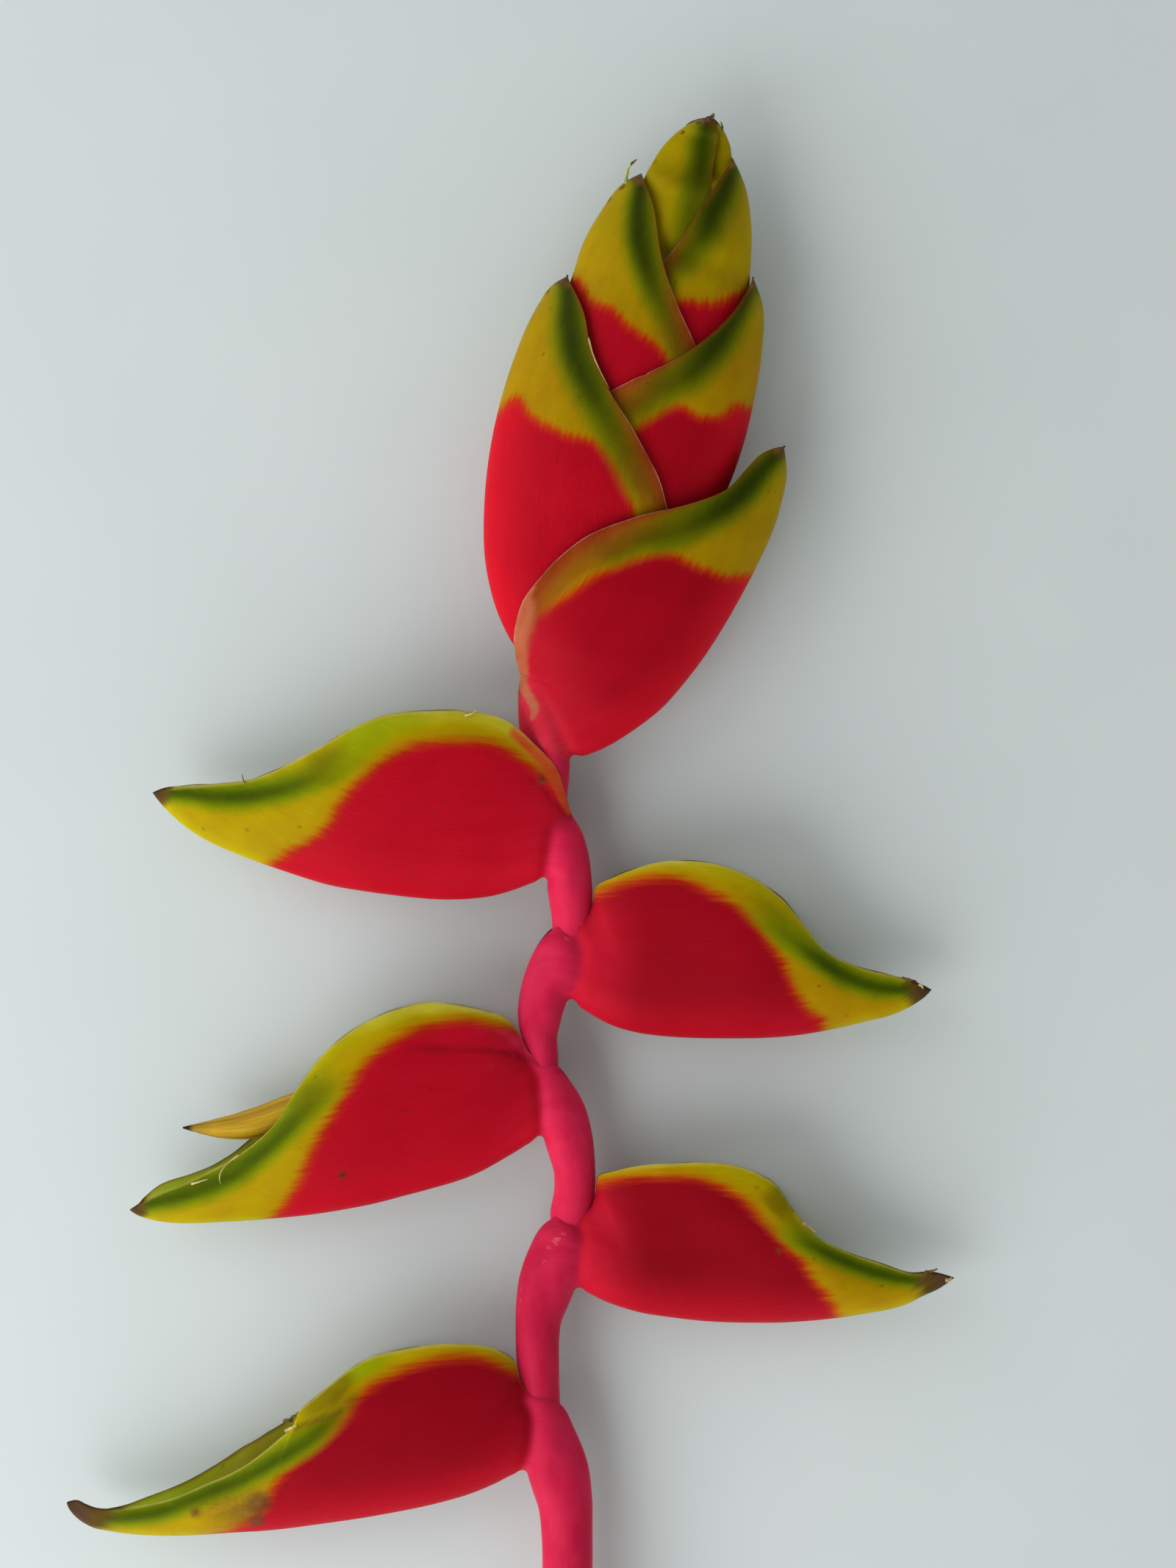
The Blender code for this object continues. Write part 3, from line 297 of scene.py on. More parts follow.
# Folded bracts of the spike, outermost first: keel and margin from tip to base, level of the base along
# the spike's axis.
spikeBracts = {
    "bract_06": {
        "side": "right", "base": 3.0,
        "ribs": [
            (-2.4, -20.5, -8.6, -20.5, 180, 3.3), (-3.6, -17, -9.8, -17, 180, 3.2),
            (-5.2, -14, -11, -14, 180, 3.2), (-4.9, -8, -11.6, -8, 180, 3.6),
            (-4.6, -4, -12.5, -3, 180, 4.0), (-4.3, 0, -13.6, 3, 180, 4.5), (-4.1, 3.5, -14.6, 9, 180, 4.8),
            (-3.2, 5.6, -15.2, 14.5, 178, 5.2), (-0.5, 6.2, -15.2, 19.5, 168, 5.8),
            (4.5, 8.3, -14.8, 24, 155, 7.2),
        ],
        "keel": [(42.6, 73.6), (43.4, 68), (42, 60.5), (36, 46), (30, 35), (23, 24.6), (14, 14.6), (5, 8.6),
            (-1, 6.3), (-3.6, 5.9)],
        "margin": [(42.6, 73.6), (38.5, 72.3), (34, 68), (30, 64), (24, 61.5), (10, 58), (0, 54),
            (-8, 47.6), (-14, 40), (-16.2, 32), (-15, 24), (-14.7, 16), (-14.2, 9)],
        "green": [(41.4, 72.1), (37.9, 68.1), (34.4, 64.1), (30.4, 60.6), (26.4, 58.1), (22.4, 56.1),
            (18.4, 54.6), (12, 53.6), (5, 51)],
        "redEdge": [(40, 47), (35.6, 46), (31, 45.3), (27, 46.5), (23, 48), (19, 50.3), (15, 50.5),
            (10, 49.4), (5, 47.3), (0, 44.8), (-4.3, 41.5), (-7.8, 38.5), (-11, 34.3), (-12.6, 30),
            (-13.6, 25)],
        "crease": [(-3.2, 0), (-3.5, 6.1), (-5.2, 9.5), (-7, 13.5), (-9, 17.5), (-11.5, 21)],
        "scars": [(-13.2, 17.6, 1.8), (-13.7, 15.6, 1.6)],
        "flap": [(-12.5, 42.5, 0.8), (-13.6, 40.5, 2), (-14.6, 38, 3.4), (-15.8, 34, 4), (-15.6, 29.5, 2.7),
            (-14.8, 25, 1.9), (-14.3, 21.5, 1.2), (-12.7, 18.8, 1), (-11.7, 16.8, 1.1), (-12, 14.4, 0.6)],
        "fold": [(-15.5, 29.5), (-15.2, 27.6), (-14.5, 25), (-14.5, 22), (-14.9, 20.2)],
        "greenWidth": 4.0, "dry": 2.6, "tan": 1, "tone": 0.3, "lemon": 0.25, "yellowFrom": 28,
    },
    "bract_07": {
        "side": "left", "base": 11.0,
        "keel": [(-4.6, 110.5), (-8, 108.4), (-11, 104), (-16.5, 91.5), (-20.6, 77), (-22.5, 62), (-22, 46),
            (-18.4, 34), (-13.4, 25.5), (-11, 18)],
        "margin": [(-4.6, 110.5), (-1.6, 104.4), (1.2, 93), (6.5, 82.5), (13, 71.5), (17.4, 60), (17, 48),
            (11, 36), (4, 25), (-0.4, 15)],
        "green": [(-4.2, 108.6), (-4.4, 102), (-3.8, 96), (-2, 90.6), (0.7, 85.2), (3.7, 80.4), (6.6, 75.9),
            (9.5, 71), (12, 66)],
        "redEdge": [(-23, 80), (-19.3, 82), (-15.4, 84.4), (-12, 80.5), (-7.8, 78), (-4, 76.3), (0.5, 75.2),
            (4.2, 72.6), (6.6, 69), (9, 63.8), (10.4, 58.6)],
        "greenWidth": 4.6, "dry": 2.4, "tone": 0.7, "lemon": 0.15, "tan": 0.9,
        "spots": [(-8.8, 107.2, 2), (-6.4, 109.4, 2.4), (-10.8, 104.2, 1)],
    },
    "bract_08": {
        "side": "right", "base": 18.5,
        "keel": [(36, 110), (37.8, 105), (37.9, 94), (36, 82.5), (32, 68.5), (27, 57), (20, 46), (12, 36),
            (4.2, 27), (-0.3, 22)],
        "margin": [(36, 110), (32, 103.2), (27, 98), (19, 92.4), (12, 89), (3, 84.4), (-6, 76), (-11.5, 63),
            (-12.5, 50), (-11.2, 38), (-8.6, 25)],
        "green": [(35.2, 108), (32.4, 103.2), (29.4, 97.8), (25.8, 93), (22.2, 89.4), (18, 87.3),
            (13, 84.6), (7, 81)],
        "redEdge": [(38, 81.5), (35, 82), (33, 82.9), (28, 80.2), (23.3, 81), (19.7, 83.3), (14, 80.4),
            (10, 77.5), (4, 72)],
        "greenWidth": 4.6, "dry": 2.2, "tone": 0.5, "tan": 0.95,
        "notches": [(12.3, 89.2, 0.5, 0.6, "near")],
    },
    "bract_09": {
        "side": "left", "base": 26.0,
        "keel": [(11.6, 132.9), (7.4, 130.6), (3, 125), (-1.4, 117), (-3.3, 110.8), (-6.2, 103),
            (-11.8, 89), (-15.5, 74), (-16, 60), (-12.8, 46), (-7.4, 36.5), (-5.6, 31.5)],
        "margin": [(11.6, 132.9), (14.1, 126), (16, 114.5), (20, 103), (24, 94), (26.5, 82), (24, 66),
            (18, 54), (10, 42), (2.2, 29.5)],
        "green": [(11.6, 130.8), (10.8, 124.2), (11.4, 116.4), (13.2, 110.4), (15.6, 105.6), (18, 101.4),
            (20.4, 96)],
        "redEdge": [(-5, 110), (-2, 109.8), (0.7, 105.6), (4.9, 104.1), (8.4, 100.8), (13.2, 97.2),
            (16.8, 94.2), (18.6, 90)],
        "greenWidth": 3.8, "dry": 2.6, "tone": 0.6, "lemon": 0.35, "tan": 0.8,
        "spots": [(2.6, 124.6, 1.6), (4.6, 127.2, 2.2), (7.4, 130, 2.2), (9.6, 131.8, 2)],
    },
    "bract_10": {
        "side": "right", "base": 34.0,
        "keel": [(31.5, 136.3), (34.2, 130), (35.6, 120), (35.3, 111), (34.2, 97), (31.2, 83), (27, 70),
            (20.5, 57), (12, 46), (4.0, 38.2)],
        "margin": [(31.5, 136.3), (27.6, 130), (22, 121.4), (15.5, 112), (5, 99), (-3, 86), (-8, 72),
            (-8.4, 58), (-5.4, 47), (-3.6, 40)],
        "green": [(31.4, 134), (29.5, 129), (27.5, 125), (25.5, 120), (23, 117), (19, 113.6), (15, 110)],
        "redEdge": [(38, 109), (32.5, 107), (27, 105), (20, 105.5), (16, 104)],
        "greenWidth": 4.4, "dry": 2.2, "tone": 0.6, "lemon": 0.6, "tan": 0.5,
        "spots": [(29.4, 133.4, 1.2)],
    },
    "bract_11": {
        "side": "left", "base": 42.0,
        "keel": [(26.9, 145.3), (23.8, 144.6), (20.2, 142.6), (16.4, 139), (13.2, 133.8), (9.4, 124.4),
            (3, 110), (-3, 95.5), (-7.2, 80), (-7, 66), (-2.6, 54), (-0.8, 47.6)],
        "margin": [(26.9, 145.3), (28.3, 142.6), (28.1, 139), (27.4, 136), (27, 132), (27, 124), (28, 108),
            (26.5, 92), (22, 76), (15, 62), (4.6, 45.8)],
        "green": [(26, 143.6), (25.2, 140.4), (24.6, 135), (23.7, 130.2), (22.8, 126.6), (21.5, 118)],
        "redEdge": [(8, 116), (14, 113), (22, 110), (30, 106)],
        "greenWidth": 3.8, "greenDepth": 0.8, "dry": 2.2, "tone": 0.3, "lemon": 0.7,
        "spots": [(20.6, 141.8, 1.4), (24, 144, 1.6)],
    },
    "bract_12": {
        "side": "right", "base": 49.0,
        "keel": [(27.4, 144.9), (29.3, 142.7), (30.6, 139.7), (31.6, 136.4), (32.6, 130), (32.8, 119),
            (31.4, 105), (28.2, 91), (22.4, 77), (15, 65), (6.8, 53.4)],
        "margin": [(27.4, 144.9), (24.5, 137.6), (18.5, 127), (11, 112), (4, 98), (-0.6, 84), (-2.4, 71),
            (-1, 60), (0.6, 55)],
        "green": [(26.6, 141), (24, 136), (20, 129), (16, 121)],
        "redEdge": [(34, 112), (24, 112), (14, 110)],
        "greenWidth": 3.2, "dry": 1.6, "tone": 0.3, "lemon": 0.7,
    },
}
# How both kinds are made, in mm: "twin" as undrawn uses it, "fades" for how much of the green stripe is
# lost along the margin, "tucked" for stem hidden inside the spike.
openKind = {
    "bracts": openBracts, "slot": "open_bract", "rows": 230, "steps": 28, "wall": 1.15, "marginWall": 0.4,
    "unevenness": 0.16, "marginWaver": 0.22, "twin": 1, "fades": 1, "tucked": 0, "seeds": (1, 11, 3),
}
foldedKind = {
    "bracts": spikeBracts, "slot": "folded_bract", "rows": 150, "steps": 26, "wall": 0.45, "marginWall": 0.3,
    "unevenness": 0.1, "marginWaver": 0.15, "twin": 0, "fades": 0.25, "tucked": 40, "seeds": (7, 17, 5),
}
loftShape = {
    "turnPace": 6,  # degrees of turn that weigh as much as a mm in the spacing of rows
    "leastDepth": 0.15, "leastTurn": 15, "lowest": 0.02,  # "lowest" is above the table
    "bumps": 7, "marginBumps": 2.2, "marginReach": 1.8,  # bump sizes, and how far in the margin's go
    "mostPast": 8,  # how far the lower side may come out past the upper one
    "keelPlace": 0.8,  # how far along the keel lies the point that tells its side of the stripe
}
wallShape = {
    "fromMargin": 6, "fromEnd": 9,  # full thickness this far in from the margin and from the ends
    "atEnd": 0.25, "ofWidth": 0.25, "least": 0.04,  # and at the ends no more than a share of the width
}
spikeShape = {
    "origin": np.array([-8.0, 6.0]), "lean": math.radians(14.7),  # of its axis
    "pitch": 1.1, "stemRoom": 1.0,  # room from one bract to the next, and round the stem inside
    "closes": 1.5, "loose": (-1, 10),  # a bract closes this far past its margin, and leaves the stem here
    "tipFree": (56, 76), "tipThins": 0.6, "tipCloses": 0.35,  # levels where the outermost tip comes free
    "depth": [(0, 5.9), (6, 6.7), (14, 9.4), (24, 12.4), (38, 14.4), (54, 14.9), (72, 14.4), (90, 12.9),
              (106, 10.9), (120, 8.6), (131, 6.4), (139, 4.4), (146, 1.2)],  # half depth at each level
    # how far a tip is tucked in under the one before the last
    "tuck": [(-20, 3.0), (-8, 1.9), (-3, 0.9), (0, 0.3), (3, 0), (10, -1.5), (34, -20)],
    # the stem inside: x, y, radius
    "stem": [(-8.8, -5, 3.0), (-8.8, 2, 3.8), (-9.0, 8, 4.0), (-7.0, 16, 3.8), (-5.2, 23, 3.6),
             (-3.0, 31, 3.3), (-0.6, 39, 3.0), (1.2, 47, 2.7), (3.6, 55, 2.3), (5.0, 62, 1.9)],
    "stemRows": 60, "stemSteps": 12, "ribs": 26, "ribsFrom": 16.0,
}
cover = {  # a bract under another
    "overlap": (-8, -1), "pastTip": 13, "pastOutermost": (52, 62),  # where it takes hold and lets go
    "samples": 33, "reach": 0.97, "beside": 7, "snug": 0.85, "least": 0.1,  # how the room is measured
}
# Valleys in the skin: between stem and bract, with a swelling beyond it, and along drawn folds, where the red
# is also painted darker as shade.
creaseShape = {"swell": 0.55, "swellAt": 4.4, "swellWide": 3.2, "ends": (9, 4.5), "deep": 0.75, "wide": 1.5}
foldShape = {"deep": 0.28, "wide": 1.3, "shadeWide": 0.8}
stripeShape = {  # the green stripe, in shares of its width and length
    "marginSide": 0.63, "marginFades": 0.27,  # distances count for less on the margin's side
    "startWidth": 0.7, "widens": 0.3, "haloEnds": (0.72, 1),
    "coreFrom": 0.3, "coreLasts": 0.42, "coreFades": (0.4, 0.6),
}
colourShape = {
    "yellowFrom": 8, "over": 10, "rim": (10, 24),  # mm past the end of the stem
    "fromRed": (0.5, 3), "paleEnds": (0.7, 0.52),
}

spikeOrder = list(spikeBracts)
leanSine, leanCosine = math.sin(spikeShape["lean"]), math.cos(spikeShape["lean"])
spikeUp, spikeRight = np.array([leanSine, leanCosine]), np.array([leanCosine, -leanSine])


def alongSpike(points):
    # plan points as (level along the spike's axis, distance to its right)
    offset = np.array(points, float) - spikeShape["origin"]
    return np.stack([offset @ spikeUp, offset @ spikeRight], axis=-1)


def fromSpike(level, right):
    return spikeShape["origin"] + (level * spikeUp + right * spikeRight)


@functools.lru_cache(maxsize=None)
def edgeLine(name, edge):
    line = alongSpike(curveThrough(spikeBracts[name][edge]))[::-1]
    return np.maximum.accumulate(line[:, 0]), line[:, 1]


def edgeAt(name, edge, level):
    return float(np.interp(level, *edgeLine(name, edge)))


def tipLevel(name):
    return float(edgeLine(name, "keel")[0][-1])


def outwardOf(name):
    return 1 if spikeBracts[name]["side"] == "right" else -1


@functools.lru_cache(maxsize=None)
def keelAt(name, level):
    # a keel stays inside the bract of its own side that is folded over it
    index, outward = spikeOrder.index(name), outwardOf(name)
    keel = edgeAt(name, "keel", level)
    if index >= 3:
        over = spikeOrder[index - 2]
        inset = tableValue(spikeShape["tuck"], level - tipLevel(over))
        keel = outward * min(outward * keel, outward * (keelAt(over, level) - outward * inset))
    return keel


@functools.lru_cache(maxsize=None)
def foldAt(name, level):
    # a folded bract's ellipse at a level: keel, where it would close, half depth
    index, outward = spikeOrder.index(name), outwardOf(name)
    keel, margin = keelAt(name, level), edgeAt(name, "margin", level)
    far = margin - outward * spikeShape["closes"]
    if index + 1 < len(spikeOrder):
        covered = keelAt(spikeOrder[index + 1], level) - outward * spikeShape["pitch"]
        far = -outward * max(-outward * far, -outward * covered)
    depth = float(tableValue(spikeShape["depth"], level))
    if index == 0:  # the outermost one's tip stands free of the spike
        free = smoothStep(*spikeShape["tipFree"], level)
        depth *= 1 - spikeShape["tipThins"] * free
        far += (margin - outward * spikeShape["tipCloses"] * abs(keel - margin) - far) * free
    for over in spikeOrder[:index]:
        depth = min(depth, coveredDepth(over, name, level, keel, margin, far))
    centre, snug = stemAt(level)
    loose = smoothStep(*spikeShape["loose"], level - spikeBracts[name]["base"])
    keel = centre + outward * snug + (keel - centre - outward * snug) * loose
    far = centre - outward * snug + (far - centre + outward * snug) * loose
    return keel, far, snug + (depth - snug) * loose


def coveredDepth(over, name, level, keel, margin, far):
    # half depth left to a bract by one folded over it; free where the two no longer overlap
    outward, tip = outwardOf(name), tipLevel(over)
    overMargin = edgeAt(over, "margin", level)
    overlap = outward * (keel - overMargin) if outwardOf(over) == outward else outward * (overMargin - margin)
    hold = smoothStep(*cover["overlap"], overlap) * (1 - smoothStep(tip, tip + cover["pastTip"], level))
    if over == spikeOrder[0]:
        hold *= 1 - smoothStep(*cover["pastOutermost"], level)
    free = float(tableValue(spikeShape["depth"], level))
    if hold == 0:
        return free
    overKeel, overFar, overDepth = foldAt(over, min(level, tip))
    overRadius = abs(overFar - overKeel) / 2 - spikeShape["pitch"] * cover["snug"]
    turn = np.linspace(-cover["reach"], cover["reach"], cover["samples"])
    place = (keel + far - overKeel - overFar) / 2 + abs(keel - far) / 2 * turn
    room = (1 - (place / overRadius) ** 2) / (1 - turn**2)
    place += (overKeel + overFar) / 2
    low = max(min(keel, margin), min(overKeel, overMargin)) - cover["beside"]
    high = min(max(keel, margin), max(overKeel, overMargin)) + cover["beside"]
    shared = (place > low) & (place < high)
    if not shared.any():
        return free
    nested = (overDepth - spikeShape["pitch"]) * math.sqrt(min(1, max(room[shared].min(), cover["least"])))
    return free + (min(free, nested) - free) * hold


@functools.lru_cache(maxsize=None)
def stemLine():
    line = evenly(curveThrough(spikeShape["stem"]), 200)
    return np.column_stack([alongSpike(line[:, :2]), line[:, 2]])


def stemAt(level):
    # where the stem inside the spike lies at a level, and the radius that clears it
    levels, rights, radii = stemLine().T
    return np.interp(level, levels, rights), np.interp(level, levels, radii + spikeShape["stemRoom"])


def foldedRibs(name):
    # rib table of a folded bract, square to the spike's axis so that each nests inside the last
    shape, outward = spikeBracts[name], outwardOf(name)
    ribs = list(shape.get("ribs", []))
    start = spikeShape["ribsFrom"] if ribs else shape["base"]
    reach = tipLevel(name) - start
    for share in 1 - (1 - np.linspace(0, 1, spikeShape["ribs"])) ** 1.6:  # closer together at the tip
        level = start + reach * share
        keel, far, depth = foldAt(name, level)
        margin = outward * max(outward * edgeAt(name, "margin", level), outward * far + 0.5)
        length, radius = abs(margin - keel), abs(far - keel) / 2
        turn = math.degrees(math.acos(max(-1.0, 1 - max(length, 0.01) / max(radius, length / 2 + 0.01))))
        if share == 1:
            turn, depth = ribs[-1][4], 0.4
        ribs.append((*fromSpike(level, keel), *fromSpike(level, margin), turn, depth))
    return ribs


def nearestOn(points, line):
    # distance from a line on the plan, how far along it the nearest place is, and which side of it
    best, where, side = np.full(len(points), 1e9), np.zeros(len(points)), np.ones(len(points))
    for i, (a, b) in enumerate(zip(line, line[1:])):
        way, offset = b - a, points - a
        share = np.clip((offset @ way) / (way @ way), 0, 1)
        gap = np.linalg.norm(offset - share[:, None] * way, axis=1)
        turn = np.sign(way[0] * offset[:, 1] - way[1] * offset[:, 0])
        closer = gap < best - 1e-9
        best[closer], side[closer], where[closer] = gap[closer], turn[closer], i + share[closer]
    return best, where / (len(line) - 1), side


def lineDistance(points, line):
    return nearestOn(points, curveThrough(line, 6))[:2]


def signedDistance(points, line, tip):
    # distance from a drawn line that runs on straight past its ends, positive on the tip's side
    line = curveThrough(line, 8)
    line = np.vstack([line[0] + (line[0] - line[2]) * 12, line, line[-1] + (line[-1] - line[-3]) * 12])
    gap, _, side = nearestOn(np.vstack([points, [tip]]), line)
    return gap[:-1] * side[:-1] * side[-1]


def crossed(a, b):
    return a[..., 0] * b[..., 1] - a[..., 1] * b[..., 0]


def gridNormals(grid, centre):
    normal = np.cross(np.gradient(grid, axis=1), np.gradient(grid, axis=0))
    normal = normal / np.maximum(np.linalg.norm(normal, axis=2, keepdims=True), 1e-9)
    outward = np.sum(normal * (grid - centre[:, None, :]), axis=2).sum()
    return normal * (1 if outward > 0 else -1)


def loftGrid(shape, kind, seed):
    # grid of points: one row per rib, from the near margin over the keel to the far margin
    table = np.array(shape["ribs"], float)
    table[:, 4] /= loftShape["turnPace"]
    row = evenly(curveThrough(table, 24), kind["rows"])
    steps = kind["steps"]
    keel, margin, depth = row[:, :2], row[:, 2:4], np.maximum(row[:, 5], loftShape["leastDepth"])
    last = np.radians(np.clip(row[:, 4] * loftShape["turnPace"], loftShape["leastTurn"], 180))
    share = np.linspace(1, -1, 2 * steps + 1)
    angle = last[:, None] * share[None, :]
    reach = (1 - np.cos(angle)) / (1 - np.cos(last))[:, None]
    length = np.linalg.norm(margin - keel, axis=1)
    grid = np.empty((len(row), 2 * steps + 1, 3))
    grid[..., :2] = keel[:, None, :] + (margin - keel)[:, None, :] * reach[..., None]
    grid[..., 2] = depth[:, None] * np.sin(angle)
    opened = smoothStep(0.02, 0.7, math.pi - last)  # 0 on the closed tube of the stem
    centre = np.column_stack([(keel + margin) / 2, np.zeros(len(row))])
    normal = gridNormals(grid, centre)
    # distances over the surface
    pace = np.linalg.norm(np.diff(grid, axis=1), axis=2)
    fromNear = np.concatenate([np.zeros((len(row), 1)), np.cumsum(pace, axis=1)], axis=1)
    toMargin = np.minimum(fromNear, fromNear[:, -1:] - fromNear)
    run = runAlong((keel + margin) / 2)
    across = fromNear - fromNear[:, steps:steps + 1]
    # soft unevenness of a grown skin, then the valleys drawn on it
    bumps = loftShape["bumps"]
    uneven = waver(run[:, None] / bumps, across / bumps, seed) * kind["unevenness"]
    grid += normal * (uneven * opened[:, None] * smoothStep(0, 6, length)[:, None])[..., None]
    if "crease" in shape:
        flat = grid[..., :2].reshape(-1, 2)
        gap, _ = lineDistance(flat, shape["crease"][1:])
        side = -signedDistance(flat, shape["crease"], shape["ribs"][-1][:2])
        ends = creaseShape["ends"]
        swell = bell(side - creaseShape["swellAt"], creaseShape["swellWide"]) * smoothStep(*ends, gap)
        relief = creaseShape["swell"] * swell - creaseShape["deep"] * bell(gap, creaseShape["wide"])
        grid += normal * (relief.reshape(grid.shape[:2]) * smoothStep(0.1, 2.5, toMargin))[..., None]
    if "fold" in shape:
        gap, _ = lineDistance(grid[..., :2].reshape(-1, 2), shape["fold"])
        valley = foldShape["deep"] * bell(gap, foldShape["wide"]).reshape(grid.shape[:2])
        grid -= normal * (valley * smoothStep(0.1, 2, toMargin))[..., None]
    # the margin wanders slightly, and is pushed out and in along its ribs
    ribWay = (margin - keel) / np.maximum(length, 0.1)[:, None]
    edge = np.exp(-toMargin / loftShape["marginReach"]) * opened[:, None] * smoothStep(0, 12, length)[:, None]
    push = waver(run[:, None] / loftShape["marginBumps"], share[None, :] * 2, seed + 5)
    push *= kind["marginWaver"] * edge
    if "farMargin" in shape:  # the lower side reaches past the upper one, so that the slot shows
        line = curveThrough(shape["farMargin"], 6)
        way, start = np.diff(line, axis=0)[None], line[None, :-1] - keel[:, None]
        turn = crossed(ribWay[:, None], way)
        hit = crossed(start, ribWay[:, None]) / turn
        hits = np.where((hit >= 0) & (hit <= 1), crossed(start, way) / turn - length[:, None], 0)
        past = np.clip(hits.max(axis=1), 0, loftShape["mostPast"])
        push = push + past[:, None] * np.clip(-share, 0, 1) ** 3
    for x, y, bite, wide, where in shape.get("notches", ()):
        away = np.hypot(margin[:, 0] - x, margin[:, 1] - y)
        hit = bell(away[:, None], wide) * np.exp(-toMargin / (abs(bite) * 1.6))
        onSide = (share[None, :] > 0) if where == "near" else (share[None, :] < 0)
        push = push - hit * bite * (onSide | (where == "both"))
    grid[..., :2] += ribWay[:, None, :] * push[..., None]
    grid[..., 2] += middleHeight(grid[..., 1])
    grid[..., 2] = np.maximum(grid[..., 2], loftShape["lowest"])  # what presses into the table lies on it
    centre[:, 2] = middleHeight(centre[:, 1])
    normal = gridNormals(grid, centre)
    closed = last > math.radians(177)
    join = normal[:, 0] + normal[:, -1]
    join /= np.maximum(np.linalg.norm(join, axis=1, keepdims=True), 1e-9)
    normal[closed, 0] = normal[closed, -1] = join[closed]
    firstOpen = int(np.max(np.nonzero(last > math.radians(179.6))[0], initial=0))
    return {"grid": grid, "normal": normal, "toMargin": toMargin, "run": run, "across": across,
            "opened": opened, "length": length, "firstOpen": firstOpen, "keel": keel}


def blotches(grid, marks):
    # soft round marks on the upper side, each (x, y, width) and, where it is faint, its strength
    points = grid.reshape(-1, 3)
    upper = points[:, 2] >= middleHeight(points[:, 1])
    total = np.zeros(len(points))
    for x, y, wide, *strength in marks:
        away = np.hypot(points[:, 0] - x, points[:, 1] - y)
        height = points[np.argmin(np.where(upper, away, 99)), 2]
        total += (strength or [1])[0] * bell(np.hypot(away, points[:, 2] - height), wide / 2)
    return total


def band(points, line):
    # 1 on a line, falling off over the width given at each of its points (x, y, width)
    line = np.array(line, float)
    gap, along = lineDistance(points, line[:, :2])
    return bell(gap, np.interp(along * (len(line) - 1), np.arange(len(line)), line[:, 2]))


def bractFields(loft, rows, shape, inside):
    # what the bract's material reads at each point, distances in mm
    grid, across = loft["grid"][rows], loft["across"][rows]
    size = grid.shape[:2]
    flat = grid[..., :2].reshape(-1, 2)
    tip = np.array(shape["ribs"][-1][:2])
    green = shape["green"]
    if math.dist(green[0], tip) > math.dist(green[-1], tip):
        green = green[::-1]
    gap, along = lineDistance(flat, green)
    marginWay = signedDistance(flat, green, shape["keelPoint"])
    # the stripe fades slower towards the margin, most so on the folded bracts
    side = stripeShape["marginSide"] + stripeShape["marginFades"] * shape["fades"]
    gap = np.where(marginWay < 0, gap * shape.get("greenSide", side), gap)
    start = stripeShape["startWidth"]
    width = shape["greenWidth"] / 2 * (start + (1 - start) * smoothStep(0, stripeShape["widens"], along))
    coreFrom, (least, more) = shape.get("greenFades", stripeShape["coreFrom"]), stripeShape["coreFades"]
    coreEnds = smoothStep(coreFrom, coreFrom + stripeShape["coreLasts"], along)
    run = np.broadcast_to(loft["run"][rows][:, None], size).ravel()
    toMargin = np.where(loft["opened"][rows][:, None] > 0.03, loft["toMargin"][rows], 9).ravel()
    edge = signedDistance(flat, shape["redEdge"], tip)
    tube = -signedDistance(flat, shape["crease"], tip) if "crease" in shape else -30.0
    past = run - shape["stemEnd"] - shape.get("yellowFrom", colourShape["yellowFrom"])
    free = smoothStep(0, colourShape["over"], past)
    yellow = smoothStep(*colourShape["fromRed"], edge) * free
    tan = shape.get("tan", 0) * smoothStep(0.4, 1, along) * smoothStep(-1, 1.5, edge)
    toTip = np.hypot(*(flat - tip).T) / shape["dry"]
    fields = {
        "redEdge": np.clip(edge, -40, 40),
        "greenLine": gap / width,
        "halo": 1 - shape["fades"] * smoothStep(*stripeShape["haloEnds"], along),
        "core": shape.get("greenDepth", 1) * (1 - (least + more * shape["fades"]) * coreEnds),
        "tan": tan,
        "brown": tan**3,
        "toMargin": toMargin,
        "free": free,
        "lemon": free * shape.get("lemon", 0),
        "rim": smoothStep(*colourShape["rim"], past),
        "fromKeel": np.abs(across).ravel(),
        "toTip": toTip,
        "dried": smoothStep(1.7, 1, toTip),
        "tube": np.clip(np.where(run < shape["stemEnd"], 9.0, tube), -30, 9),
        "flap": band(flat, shape["flap"]) if "flap" in shape else 0,
        # painted shade along a drawn fold
        "fold": bell(lineDistance(flat, shape["fold"])[0], foldShape["shadeWide"]) if "fold" in shape else 0,
        "tone": shape["tone"],
        "blush": shape.get("blush", 1),
        "yellow": yellow,
        "pale": yellow * shape.get("pale", 0) * smoothStep(*colourShape["paleEnds"], run / loft["run"][-1]),
        "inside": inside,
    }
    for key, within in (("spots", 1), ("scars", 1), ("olive", yellow), ("lime", yellow)):
        fields[key] = blotches(grid, shape.get(key, ())) * within * (1 - inside)
    fields = {key: np.broadcast_to(np.asarray(values, float), len(flat)) for key, values in fields.items()}
    seed = np.full(size, shape["seed"] * 7.3 + inside * 3)
    return fields, np.stack([run.reshape(size), across, seed], axis=-1).reshape(-1, 3)


def makeMesh(name, points, faces, material, nodes=(), normals=None, fields=None, grain=None):
    mesh = bpy.data.meshes.new(name)
    mesh.from_pydata(toFrame(points).tolist(), [], faces)
    mesh.shade_smooth()
    for key, values in (fields or {}).items():
        mesh.attributes.new(key, "FLOAT", "POINT").data.foreach_set("value", values.astype(np.float32))
    grain = np.array(points if grain is None else grain, np.float32)
    mesh.attributes.new("grain", "FLOAT_VECTOR", "POINT").data.foreach_set("vector", grain.ravel())
    mesh.materials.append(material)
    if normals is not None:
        mesh.normals_split_custom_set_from_vertices(normals.tolist())
    made = bpy.data.objects.new(name, mesh)
    bpy.context.scene.collection.objects.link(made)
    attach(made, "root")
    if nodes:
        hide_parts(*nodes)


